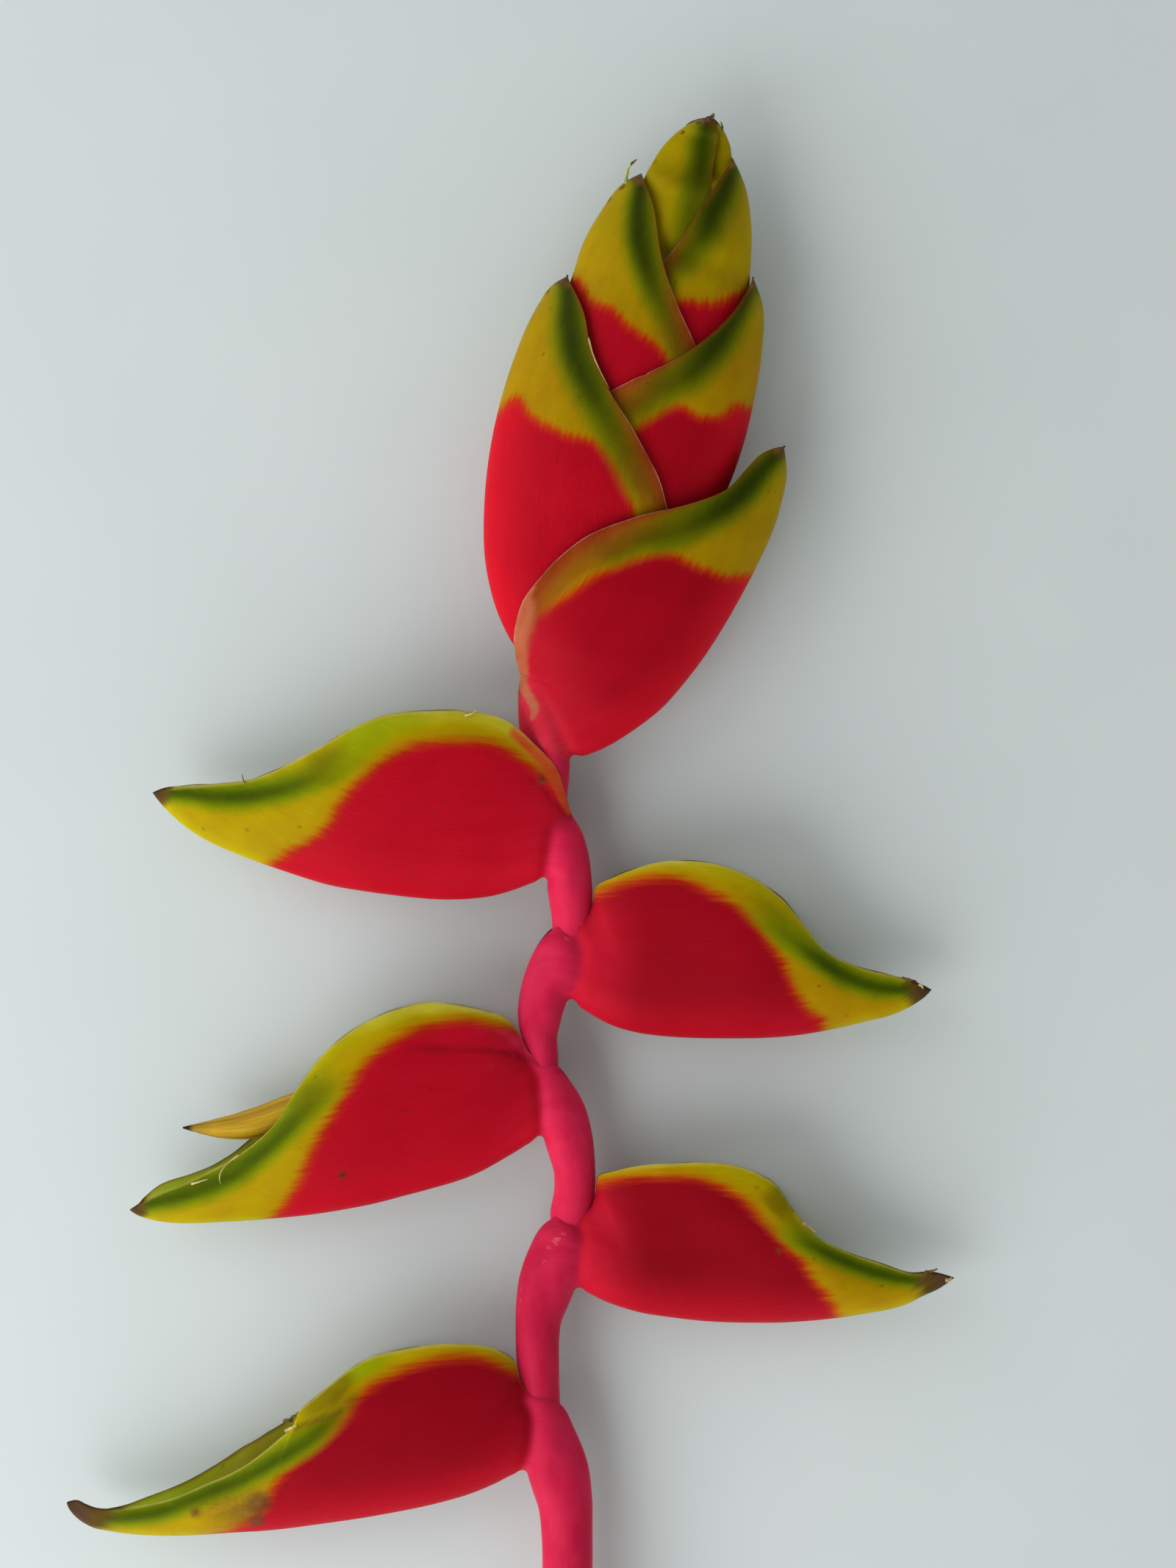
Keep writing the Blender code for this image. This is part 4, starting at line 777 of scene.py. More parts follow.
def gridFaces(rows, columns, start=0, turned=False):
    r, c = np.meshgrid(np.arange(rows - 1), np.arange(columns - 1), indexing="ij")
    a = (start + r * columns + c).ravel()
    quad = np.stack([a, a + 1, a + columns + 1, a + columns], axis=1)
    return (quad[:, ::-1] if turned else quad).tolist()


def tubeFaces(rows, sides, ends):
    # rings of points joined up, then closed onto the end points that follow them: both, or the last one
    faces, last, point = [], (rows - 1) * sides, rows * sides
    for c in range(sides):
        d = (c + 1) % sides
        faces += [(r + c, r + d, r + sides + d, r + sides + c) for r in range(0, last, sides)]
        faces += [(d, c, point)] if ends == 2 else []
        faces.append((last + c, last + d, point + ends - 1))
    return faces


def facesOut(points, face, normals):
    a, b, c = (points[i] for i in face[:3])
    return np.dot(np.cross(b - a, c - a), normals[face[0]]) > 0


def flipped(points, faces, normals):
    # the faces turned over where they look inwards
    return faces if facesOut(points, faces[0], normals) else [face[::-1] for face in faces]


def shellMesh(name, loft, kind, shape, material):
    # boat-shaped skin from the end of the stem to the tip: outer and inner face, rims and a closed base
    rows = slice(loft["firstOpen"], None)
    outer, normal = loft["grid"][rows], loft["normal"][rows]
    count, columns = outer.shape[:2]
    length = loft["length"][rows][:, None]
    thick = kind["marginWall"]
    thick = thick + (kind["wall"] - thick) * smoothStep(0, wallShape["fromMargin"], loft["toMargin"][rows])
    thick *= wallShape["atEnd"] + (1 - wallShape["atEnd"]) * smoothStep(0, wallShape["fromEnd"], length)
    thick = np.minimum(thick, wallShape["ofWidth"] * length + wallShape["least"])
    inner = outer - normal * thick[..., None]
    points = np.vstack([undrawn(side, kind["twin"]).reshape(-1, 3) for side in (outer, inner)])
    normals = np.vstack([normal.reshape(-1, 3), -normal.reshape(-1, 3)])
    size = count * columns
    faces = gridFaces(count, columns)
    turned = not facesOut(points, faces[len(faces) // 2], normals)
    faces = gridFaces(count, columns, 0, turned) + gridFaces(count, columns, size, not turned)
    rim = []
    for a in range(0, size - columns, columns):
        b, c, d = a + columns, a + columns - 1, a + 2 * columns - 1
        rim += [(a, b, size + b, size + a), (d, c, size + c, size + d)]
    for a in range(columns - 1):
        b = size - columns + a
        rim += [(a + 1, a, size + a, size + a + 1), (b, b + 1, size + b + 1, size + b)]
    faces += [face[::-1] for face in rim] if turned else rim
    sides = [bractFields(loft, rows, shape, inside) for inside in (0, 1)]
    fields = {key: np.concatenate([sides[0][0][key], sides[1][0][key]]) for key in sides[0][0]}
    grain = np.vstack([sides[0][1], sides[1][1]])
    makeMesh(name + "_skin", points, faces, material, [name], normals, fields, grain)


def stemMesh(parts, material, name="stem_skin"):
    # The stem from node to node: each length is the foot of the bract above it, so they share one skin.
    # A last thin length runs hidden inside the spike.
    inner = [(x - r, y, x + r, y, 180, r) for x, y, r in spikeShape["stem"]]
    kind = {**foldedKind, "rows": spikeShape["stemRows"], "steps": spikeShape["stemSteps"]}
    hidden = loftGrid({"ribs": inner}, kind, 1)
    hidden["firstOpen"] = len(hidden["run"]) - 1
    points, normals, faces, fields, grain, start = [], [], [], [], [], 0
    for loft, shape, twin in parts + [(hidden, parts[-1][1], kind["twin"])]:
        rows = slice(0, loft["firstOpen"] + 1)
        grid, normal = loft["grid"][rows], loft["normal"][rows].reshape(-1, 3)
        flat = undrawn(grid, twin).reshape(-1, 3)
        own = gridFaces(*grid.shape[:2])
        turned = not facesOut(flat, own[len(own) // 2], normal)
        faces += gridFaces(*grid.shape[:2], start=start, turned=turned)
        partFields, partGrain = bractFields(loft, rows, shape, 0)
        for whole, part in ((points, flat), (normals, normal), (fields, partFields), (grain, partGrain)):
            whole.append(part)
        start += len(flat)
    fields = {key: np.concatenate([part[key] for part in fields]) for key in fields[0]}
    makeMesh(name, np.vstack(points), faces, material, ["rachis"], np.vstack(normals), fields,
             np.vstack(grain))


def srgb(hexCode):
    # sRGB hex to the linear colour that shaders use
    parts = [int(hexCode[i:i + 2], 16) / 255 for i in (1, 3, 5)]
    return (*[c / 12.92 if c <= 0.04045 else ((c + 0.055) / 1.055) ** 2.4 for c in parts], 1)


def addNode(tree, kind, settings=None, links=None):
    # a node with its settings, by name or socket, and what feeds its sockets: a socket, or a node's first
    node = tree.nodes.new(kind)
    for key, value in (settings or {}).items():
        if isinstance(key, int) or key in node.inputs:
            node.inputs[key].default_value = value
        else:
            setattr(node, key, value)
    for key, source in (links or {}).items():
        tree.links.new(source.outputs[0] if isinstance(source, bpy.types.Node) else source, node.inputs[key])
    return node


def newMaterial(name, surface):
    material = bpy.data.materials.new(name)
    material.use_nodes = True
    shader = material.node_tree.nodes["Principled BSDF"]
    for key, value in surface.items():
        shader.inputs[key].default_value = value
    return material, material.node_tree, shader


def wearSkin(tree, shader, colour, rough, relief, bump):
    # colour and, where the skin has them, uneven roughness and a relief of some strength and depth in metres
    tree.links.new(colour, shader.inputs["Base Color"])
    if rough:
        tree.links.new(rough.outputs[0], shader.inputs["Roughness"])
    if bump:
        strength, depth = bump
        raised = addNode(tree, "ShaderNodeBump", {"Strength": strength, "Distance": depth},
                         {"Height": relief})
        tree.links.new(raised.outputs[0], shader.inputs["Normal"])


# Skin of a heliconia bract: living tissue grown in long parallel fibres under a thin wax bloom. The eye
# gets broad soft highlights, fine lengthwise veins and colours that feather into each other.
# Each layer is (field, start, full, feather, times, one colour, the other, strength). It goes over the
# last where its field (in mm) lies past "start", fully past "full"; "feather" is how far, in mm, the grain
# pulls that edge about, and "times" names a field that thins the layer out.
openSkinLook = {
    "red": ("#7E0412", "#8A0616"),
    "grains": {  # mm along the fibres, mm across them, detail
        "cloud": (40, 24, 2), "streak": (14, 0.9, 4), "fine": (6, 0.42, 3), "pebble": (0.8, 0.6, 2),
        "mottle": (9, 5, 3),
    },
    "pulled": {"spots": "pebble", "scars": "pebble"},
    "layers": [
        ("tone", 0.0, 1.0, 0, None, "#B40A1E", "#B80C22", 0.8),
        # Brighter red towards the keel: partly the skin's own colour, partly painted light.
        ("fromKeel", 15.0, 2.0, 0, None, "#B60A1E", "#BC0E24", 0.55),
        ("streak", 0.5, 0.75, 0, None, "#7C0412", "#880616", 0.15),
        # Pinker, brighter red on the body by the stem: partly its own colour, partly painted light, full on
        # the bracts right of the stem.
        ("tube", -16.0, 0.0, 0, "blush", "#C0142C", "#C81A34", 0.7),
        ("tube", -1.2, 1.6, 0, None, "#B0183C", "#BC2246", 0.92),
        ("tube", -1.2, 1.6, 0, "tone", "#CC2048", "#D62A50", 0.85),
        ("redEdge", -2.8, -0.2, 3.0, "free", "#A22206", "#AC3806", 1.0),
        ("redEdge", -1.4, 1.5, 3.0, "free", "#9E7A00", "#A68400", 1.0),
        ("redEdge", 0.0, 4.0, 3.0, "lemon", "#A08C00", "#A89600", 1.0),
        ("fromKeel", 5.0, 0.5, 0, "yellow", "#A49A00", "#AEA404", 0.6),
        ("toMargin", 7.0, 1.5, 1.0, "yellow", "#A09800", "#ACA206", 0.75),
        ("greenLine", 3.2, 1.2, 0.4, "halo", "#6C7A00", "#768200", 0.9),
        ("greenLine", 1.9, 0.6, 0.3, "core", "#445800", "#4C6000", 0.95),
        ("greenLine", 1.1, 0.0, 0.2, "core", "#2C3C00", "#344400", 0.8),
        ("lime", 0.05, 0.9, 0, None, "#829000", "#8C9804", 0.8),
        ("olive", 0.05, 0.9, 0, None, "#625400", "#6E6000", 0.8),
        # Painted light: the inner face is brighter, red and yellow both, as if lit through the thin wall.
        ("inside", 0.0, 1.0, 0, None, "#C02838", "#C8384A", 0.35),
        ("inside", 0.0, 1.0, 0, "yellow", "#C8DC3C", "#D4E050", 0.95),
        ("toMargin", 4.0, 1.0, 0.8, "pale", "#B4AA30", "#C0B640", 0.7),
        ("flap", 0.15, 0.75, 0.5, None, "#B4341C", "#BE4C24", 0.92),
        # Painted shade: dark red along the drawn folds.
        ("fold", 0.1, 1.0, 0, None, "#5A060E", "#640A12", 0.4),
        # A paler band and thin line along the margin: the dry edge's own colour with a painted highlight.
        ("toMargin", 1.2, 0.3, 0.4, "rim", "#A8A040", "#B4A858", 0.5),
        ("toMargin", 0.4, 0.15, 0.3, "rim", "#7E6A34", "#B4A660", 0.55),
        ("toTip", 1.4, 0.75, 0.6, None, "#4A3A10", "#62481C", 1.0),
        ("toTip", 0.8, 0.35, 0.3, None, "#382419", "#503A2C", 0.85),
        ("toMargin", 0.8, 0.2, 0.5, "dried", "#20140E", "#342416", 0.8),
        ("freckle", 0.1, 0.04, 0, None, "#3E1410", "#5A2A14", 0.35),
        ("spots", 0.1, 0.85, 0.35, None, "#4A1A14", "#643C20", 0.8),
        # Pale marks: scars and spots, and painted glints on the stem.
        ("scars", 0.6, 1.1, 1.8, None, "#C85464", "#D88A84", 0.38),
    ],
    "redShare": (0.38, 0.62), "mottleShare": (0.35, 0.65),
    "freckleCell": 5.2, "freckleStretch": 0.6,  # mm between freckles; 0.6 as many along the fibres
    "roughness": (0.44, 0.56), "tubeRoughness": 0.32, "tubeShare": (-1.0, 2.0),
    "veins": 1.3, "bump": (1.0, 0.00005),
    "surface": {"IOR": 1.45, "Specular IOR Level": 0.035, "Subsurface Weight": 0.35,
                "Subsurface Radius": (1.0, 0.8, 0.2), "Subsurface Scale": 0.0012},
}
foldedSkinLook = {
    **openSkinLook,
    "red": ("#8C0414", "#980618"),
    "pulled": {"scars": "pebble"},
    "layers": [
        ("tone", 0.0, 1.0, 0, None, "#B2081C", "#B80A20", 0.8),
        # Brighter red towards the keel: partly the skin's own colour, partly painted light.
        ("fromKeel", 16.0, 2.0, 0, None, "#C60E20", "#CE1224", 0.6),
        ("streak", 0.5, 0.75, 0, None, "#7C0410", "#860612", 0.2),
        ("tube", -16.0, 0.0, 0, None, "#AE1228", "#B8182C", 0.5),
        ("tube", -2.4, 2.4, 0, None, "#C42438", "#CE3044", 0.9),
        ("redEdge", -2.4, -0.2, 3.0, "free", "#AC2404", "#B03804", 1.0),
        ("redEdge", -1.0, 1.2, 3.0, "free", "#987200", "#A07C00", 1.0),
        ("redEdge", 0.0, 4.0, 3.0, "lemon", "#948200", "#9C8C00", 1.0),
        ("toTip", 9.0, 2.0, 0, "yellow", "#8A7C00", "#948600", 0.5),
        ("greenLine", 2.9, 1.1, 0.3, "halo", "#606800", "#686E00", 0.88),
        ("greenLine", 1.8, 0.6, 0.3, "core", "#3A4600", "#404C00", 0.92),
        ("greenLine", 1.1, 0.0, 0.2, "core", "#222C00", "#283200", 0.85),
        # Painted light: the inner face is brighter, red and yellow both, as if lit through the thin wall.
        ("inside", 0.0, 1.0, 0, None, "#B02434", "#B83040", 0.35),
        ("inside", 0.0, 1.0, 0, "yellow", "#A8A030", "#B4AC40", 0.6),
        ("toMargin", 14.0, 3.0, 0.8, "brown", "#7C3A0A", "#86440E", 0.85),
        ("toMargin", 4.4, 0.3, 0.5, "tan", "#84260C", "#8E3212", 0.95),
        ("toMargin", 1.6, 0.3, 0.4, None, "#6E340C", "#7C4218", 0.4),
        ("flap", 0.15, 0.8, 0.3, None, "#A6563A", "#B26C4A", 0.9),
        # A thin pale pink line along the margin: the dry edge's own colour with a painted highlight.
        ("toMargin", 0.3, 0.12, 0.2, "tan", "#8E4A34", "#CC9480", 0.7),
        ("toTip", 1.3, 0.7, 0.6, None, "#4A3408", "#6A4A18", 1.0),
        ("toTip", 0.75, 0.3, 0.3, None, "#33261A", "#4A3824", 0.8),
        ("freckle", 0.1, 0.04, 0, None, "#3E1410", "#5A2A14", 0.35),
        ("spots", 0.3, 0.75, 0.4, None, "#4A1A12", "#6E4A22", 0.8),
        # Pale marks: scars and spots, and painted glints on the stem.
        ("scars", 0.62, 0.95, 1.6, None, "#D8806C", "#E0A488", 0.55),
    ],
}


def bractSkin(name, look):
    material, tree, shader = newMaterial(name, look["surface"])
    read = {key for layer in look["layers"] for key in (layer[0], layer[4]) if key} | {"tube"}
    field = {}
    for key in sorted(read - {"freckle", *look["grains"]}):
        field[key] = addNode(tree, "ShaderNodeAttribute", {"attribute_name": key}).outputs["Fac"]
    grain = addNode(tree, "ShaderNodeAttribute", {"attribute_name": "grain"}).outputs["Vector"]
    for key, (along, across, detail) in look["grains"].items():
        scaled = addNode(tree, "ShaderNodeVectorMath",
                         {"operation": "MULTIPLY", 1: (1 / along, 1 / across, 1)}, {0: grain})
        noise = addNode(tree, "ShaderNodeTexNoise", {"Scale": 1.0, "Detail": detail, "Roughness": 0.6},
                        {"Vector": scaled})
        field[key] = noise.outputs["Fac"]
    cell, stretch = look["freckleCell"], look["freckleStretch"]
    scaled = addNode(tree, "ShaderNodeVectorMath",
                     {"operation": "MULTIPLY", 1: (stretch / cell, 1 / cell, 1)}, {0: grain})
    freckles = addNode(tree, "ShaderNodeTexVoronoi", {"Scale": 1.0}, {"Vector": scaled})
    field["freckle"] = freckles.outputs["Distance"]
    share = {}
    for key, source in (("redShare", "cloud"), ("mottleShare", "mottle"), ("tubeShare", "tube")):
        low, high = look[key]
        share[key] = addNode(tree, "ShaderNodeMapRange", {"From Min": low, "From Max": high},
                             {"Value": field[source]})
    deep, bright = look["red"]
    colour = addNode(tree, "ShaderNodeMix", {"data_type": "RGBA", 6: srgb(deep), 7: srgb(bright)},
                     {0: share["redShare"]}).outputs[2]
    for key, start, full, feather, times, one, other, strength in look["layers"]:
        source = field[key]
        if feather:
            source = addNode(tree, "ShaderNodeMath", {"operation": "MULTIPLY_ADD", 1: feather},
                             {0: field[look["pulled"].get(key, "streak")], 2: source})
        mask = addNode(tree, "ShaderNodeMapRange",
                       {"interpolation_type": "SMOOTHSTEP", "From Min": start + feather / 2,
                        "From Max": full + feather / 2, "To Max": strength}, {"Value": source})
        if times:
            mask = addNode(tree, "ShaderNodeMath", {"operation": "MULTIPLY"}, {0: mask, 1: field[times]})
        own = addNode(tree, "ShaderNodeMix", {"data_type": "RGBA", 6: srgb(one), 7: srgb(other)},
                      {0: share["mottleShare"]})
        colour = addNode(tree, "ShaderNodeMix", {"data_type": "RGBA"},
                         {0: mask, 6: colour, 7: own.outputs[2]}).outputs[2]
    low, high = look["roughness"]
    rough = addNode(tree, "ShaderNodeMapRange",
                    {"From Min": 0.3, "From Max": 0.7, "To Min": low, "To Max": high},
                    {"Value": field["mottle"]})
    satin = addNode(tree, "ShaderNodeMix", {3: look["tubeRoughness"]}, {0: share["tubeShare"], 2: rough})
    veins = addNode(tree, "ShaderNodeMath", {"operation": "MULTIPLY_ADD", 1: look["veins"]},
                    {0: field["fine"], 2: field["pebble"]})
    wearSkin(tree, shader, colour, satin, veins, look["bump"])
    return material


# The other skins: two colours shared out by a pattern between its "share" values, then layers, each
# (attribute of the mesh, start, full, strength, colour). "size" is how far apart the pattern repeats, in
# mm; "streak" is the same along and across the grain.
blotched, dotted = "ShaderNodeTexNoise", "ShaderNodeTexVoronoi"
driedLook = {"pattern": blotched, "detail": 4.0, "share": (0.35, 0.65), "bump": (0.8, 0.0002),
             "surface": {"Roughness": 0.8, "Specular IOR Level": 0.2}}
plainLooks = {
    # Flower: waxy petals grown as a ridged, closed spindle, drying brown at the point. The eye gets a
    # soft satin with lengthwise ridges and a warm ochre that deepens in the seams.
    "flowerPetalWax": {
        "colours": ("#BC9A1C", "#A87E14"), "pattern": blotched, "detail": 3.0, "streak": (9, 0.7),
        "share": (0.35, 0.65), "roughness": (0.4, 0.6), "bump": (1.0, 0.00012),
        "layers": [("share", 0.5, 0.05, 0.5, "#969220"), ("seam", 0.3, 0.9, 0.5, "#80601A"),
                   ("share", 0.9, 0.97, 0.6, "#80601A"), ("share", 0.965, 0.985, 1.0, "#1C140C")],
        "surface": {"Specular IOR Level": 0.12, "Subsurface Weight": 0.15,
                    "Subsurface Radius": (1.0, 0.7, 0.2), "Subsurface Scale": 0.0015},
    },
    # Dried membrane: margin tissue that tore and shrank in the air. The eye gets a dull papery surface,
    # blotched pale and dark, from brown crumbs to cream shreds; a filament still holds some green. The
    # blotches are 1.2 or 1.6 mm wide, and as far apart.
    "driedBrownTissue": {**driedLook, "colours": ("#38281A", "#7E5E3A"), "size": 2.4},
    "driedCreamMembrane": {**driedLook, "colours": ("#98884A", "#C4B478"), "size": 3.2},
    "wiltedGreenFilament": {**driedLook, "colours": ("#8A9848", "#B4B66C"), "size": 3.2},
    # Cut stem end: pith and fibre bundles sliced across. The eye gets pale, damp tissue dotted with
    # darker bundles about 0.9 mm apart, browned at the rim.
    "cutStemTissue": {
        "colours": ("#C9B98C", "#8C6A3C"), "pattern": dotted, "detail": 0.0, "size": 0.9,
        "share": (0.38, 0.2), "layers": [("share", 0.86, 0.97, 1.0, "#7E2A34")], "ramp": "LINEAR",
        "bump": (0.6, 0.0002), "surface": {"Roughness": 0.55},
    },
    # Floor: board under a flat matt paint. The eye gets an even pale blue-grey with a film that is barely
    # uneven, every 50 mm.
    "mattPaintedBoard": {
        "colours": ("#C6CECE", "#CDD4D4"), "pattern": blotched, "detail": 3.0, "size": 50,
        "surface": {"Roughness": 0.85, "Specular IOR Level": 0.2},
    },
}


def plainSkin(name, look):
    material, tree, shader = newMaterial(name, look["surface"])
    if "streak" in look:
        grain = addNode(tree, "ShaderNodeAttribute", {"attribute_name": "grain"}).outputs["Vector"]
        along, across = look["streak"]
        place = addNode(tree, "ShaderNodeVectorMath",
                        {"operation": "MULTIPLY", 1: (1 / along, 1 / across, 1)}, {0: grain})
        scale = 1.0
    else:
        place = addNode(tree, "ShaderNodeTexCoord").outputs["Object"]
        scale = 1000 / look["size"]
    pattern = share = addNode(tree, look["pattern"], {"Scale": scale, "Detail": look["detail"]},
                              {"Vector": place})
    if "share" in look:
        low, high = look["share"]
        share = addNode(tree, "ShaderNodeMapRange", {"From Min": low, "From Max": high}, {"Value": pattern})
    one, other = look["colours"]
    colour = addNode(tree, "ShaderNodeMix", {"data_type": "RGBA", 6: srgb(one), 7: srgb(other)}, {0: share})
    for key, start, full, strength, code in look.get("layers", ()):
        source = addNode(tree, "ShaderNodeAttribute", {"attribute_name": key}).outputs["Fac"]
        mask = addNode(tree, "ShaderNodeMapRange",
                       {"interpolation_type": look.get("ramp", "SMOOTHSTEP"), "From Min": start,
                        "From Max": full, "To Max": strength}, {"Value": source})
        colour = addNode(tree, "ShaderNodeMix", {"data_type": "RGBA", 7: srgb(code)},
                         {0: mask, 6: colour.outputs[2]})
    rough = None
    if "roughness" in look:
        low, high = look["roughness"]
        rough = addNode(tree, "ShaderNodeMapRange",
                        {"From Min": 0.3, "From Max": 0.7, "To Min": low, "To Max": high}, {"Value": pattern})
    wearSkin(tree, shader, colour.outputs[2], rough, pattern, look.get("bump"))
    return material


openSkin = bractSkin("openBractWaxedSkin", openSkinLook)
foldedSkin = bractSkin("foldedBractWaxedSkin", foldedSkinLook)
skins = {name: plainSkin(name, look) for name, look in plainLooks.items()}
print("materials made")

stemParts, lofts = [], {}
for kind, skin in ((openKind, openSkin), (foldedKind, foldedSkin)):
    grainSeed, seedStep, seedStart = kind["seeds"]
    for number, (name, shape) in enumerate(kind["bracts"].items()):
        if "side" in shape:
            shape["ribs"] = foldedRibs(name)
        loft = lofts[name] = loftGrid(shape, kind, seedStep * number + seedStart)
        shape["seed"], shape["fades"] = number + grainSeed, kind["fades"]
        shape["stemEnd"] = loft["run"][loft["firstOpen"]] - (kind["tucked"] if number else 0)
        shape["keelPoint"] = loft["keel"][int(kind["rows"] * loftShape["keelPlace"])]
        if name in openBracts or number == 0:
            stemParts.append((loft, shape, kind["twin"]))
        shellMesh(name, loft, kind, shape, skin)
    print(kind["slot"], "pieces made")


def cutEnd(loft, twin, material, name="stem_cut_face", rings=8, dome=0.5):
    # slightly domed end where the stem was cut
    edge = undrawn(loft["grid"][0], twin)[:-1]
    centre, count = edge.mean(axis=0), len(edge)
    share = np.append(np.repeat(np.linspace(1, 0, rings + 1)[:-1], count), 0)
    points = centre + (np.vstack([np.tile(edge, (rings, 1)), centre]) - centre) * share[:, None]
    points[:, 1] -= dome * (1 - share**2)
    faces = flipped(points, tubeFaces(rings, count, 1), np.tile([0.0, -1.0, 0.0], (len(points), 1)))
    makeMesh(name, points, faces, material, fields={"share": share})


stemMesh(stemParts, openSkin)
cutEnd(stemParts[0][0], openKind["twin"], skins["cutStemTissue"])
print("stem made")


def tube(line, size, flatness=1.0):
    # closed tube round a line, with the half widths given for each row and side
    ahead = np.gradient(line, axis=0)
    ahead /= np.linalg.norm(ahead, axis=1)[:, None]
    side = np.cross(ahead, (0, 0, 1))
    side /= np.linalg.norm(side, axis=1)[:, None]
    up = np.cross(side, ahead) * flatness
    turn = np.linspace(0, 2 * math.pi, size.shape[1], endpoint=False)[None, :, None]
    ring = side[:, None, :] * np.cos(turn) + up[:, None, :] * np.sin(turn)
    points = np.vstack([(line[:, None, :] + ring * size[..., None]).reshape(-1, 3), line[0], line[-1]])
    outward = np.vstack([ring.reshape(-1, 3), -ahead[0], ahead[-1]])
    return points, flipped(points, tubeFaces(*size.shape, 2), outward)


# Flowers: (x, y, height above the middle surface) from the stem outwards, and the thickest radius, in mm.
flowers = {
    "flower_1a": ([(-16.3, -132, 0), (-30, -129.8, 0.4), (-44, -131.5, 0), (-57, -138, 0)], 2.7),
    "flower_1b": ([(-15, -136, 2.2), (-30, -138, 4.9), (-46, -141, 4.6), (-62, -147, 3)], 2.5),
    "flower_1c": ([(-15, -136.5, -2.2), (-30, -138.5, -4.9), (-44, -141, -4.6), (-58, -146, -3)], 2.4),
    "flower_2a": ([(1.3, -94.5, 0), (16, -90.5, 0.4), (30, -91, 0), (43, -98, 0)], 2.7),
    "flower_2b": ([(-0.3, -98, 2.2), (16, -99.5, 4.9), (32, -101.5, 4.6), (47, -107, 3)], 2.5),
    "flower_2c": ([(-0.4, -98.5, -2.2), (16, -100, -4.9), (30, -101.5, -4.6), (44, -106, -3)], 2.4),
    "flower_3a": ([(-14.2, -64, 0), (-32, -60.5, 0.3), (-50, -65, 0), (-65, -71.6, 0), (-76, -74.6, 0),
        (-88.2, -74.8, 0)], 3.7),
    "flower_3b": ([(-13.6, -69.5, 3.4), (-28, -71.5, 4.9), (-44, -75, 4.6), (-58, -82, 3)], 2.5),
    "flower_3c": ([(-13.6, -70, -3.4), (-28, -72, -4.9), (-42, -75.5, -4.6), (-55, -81, -3)], 2.4),
    "flower_4a": ([(0.8, -31, 0), (15, -25.5, 0.4), (29, -25.5, 0), (42, -33, 0)], 2.7),
    "flower_4b": ([(-1.2, -35, 2), (15, -35, 4.9), (31, -36.5, 4.6), (46, -42.5, 3)], 2.5),
    "flower_4c": ([(-1.3, -35.5, -2), (15, -35.5, -4.9), (29, -36.5, -4.6), (43, -41.5, -3)], 2.4),
    "flower_5a": ([(-13.2, -4.5, 0), (-27, 4.5, 0.4), (-41, 5.5, 0), (-54, -0.5, 0)], 2.7),
    "flower_5b": ([(-11, -9, 2.6), (-27, -5.5, 4.9), (-43, -5.5, 4.6), (-59, -10.5, 3)], 2.5),
    "flower_5c": ([(-10.8, -9.5, -2.6), (-27, -6, -4.9), (-41, -6, -4.6), (-56, -10, -3)], 2.4),
}
flowerShape = {
    "swell": [(0, 0.4), (0.14, 0.62), (0.45, 0.95), (0.7, 1), (0.82, 0.84), (0.9, 0.58), (0.96, 0.27),
              (1, 0.05)],
    "rows": 70, "sides": 48, "ridge": 0.06, "ridgeTurn": 0.4, "seamDepth": 0.08, "seamWidth": 0.12,
    "turned": 0.35, "unevenness": 0.02, "grainLength": 60, "grainStep": 3.7,
}


def flowerMesh(name, path, radius, seed, shape=flowerShape):
    line = evenly(curveThrough(path), shape["rows"])
    line[:, 2] += middleHeight(line[:, 1])
    share = np.linspace(0, 1, shape["rows"])
    turn = np.linspace(0, 2 * math.pi, shape["sides"], endpoint=False)
    size = (shape["rows"], shape["sides"])
    around = turn + shape["turned"] * seed
    seam = bell((around * 3 / 2 / math.pi) % 1 - 0.5, shape["seamWidth"])
    grooved = 1 + shape["ridge"] * np.cos(3 * around + shape["ridgeTurn"]) - shape["seamDepth"] * seam
    width = radius * tableValue(shape["swell"], share)[:, None] * grooved
    width *= 1 + shape["unevenness"] * waver(share[:, None] * 9, turn[None, :] * 2, seed)
    points, faces = tube(line, width)
    grain = (share[:, None] * shape["grainLength"], turn * radius, seed * shape["grainStep"])
    grain = np.stack([np.broadcast_to(part, size) for part in grain], axis=-1).reshape(-1, 3)
    grain = np.vstack([grain, grain[0], grain[-1]])
    fields = {"share": np.append(np.repeat(share, shape["sides"]), [0, 1]),
              "seam": np.append(np.broadcast_to(seam, size).ravel(), [0, 0])}
    makeMesh(name + "_petals", undrawn(points), faces, skins["flowerPetalWax"], [name],
             fields=fields, grain=grain)


for number, (name, (path, radius)) in enumerate(flowers.items()):
    flowerMesh(name, path, radius, number + 1)
print("flowers made")

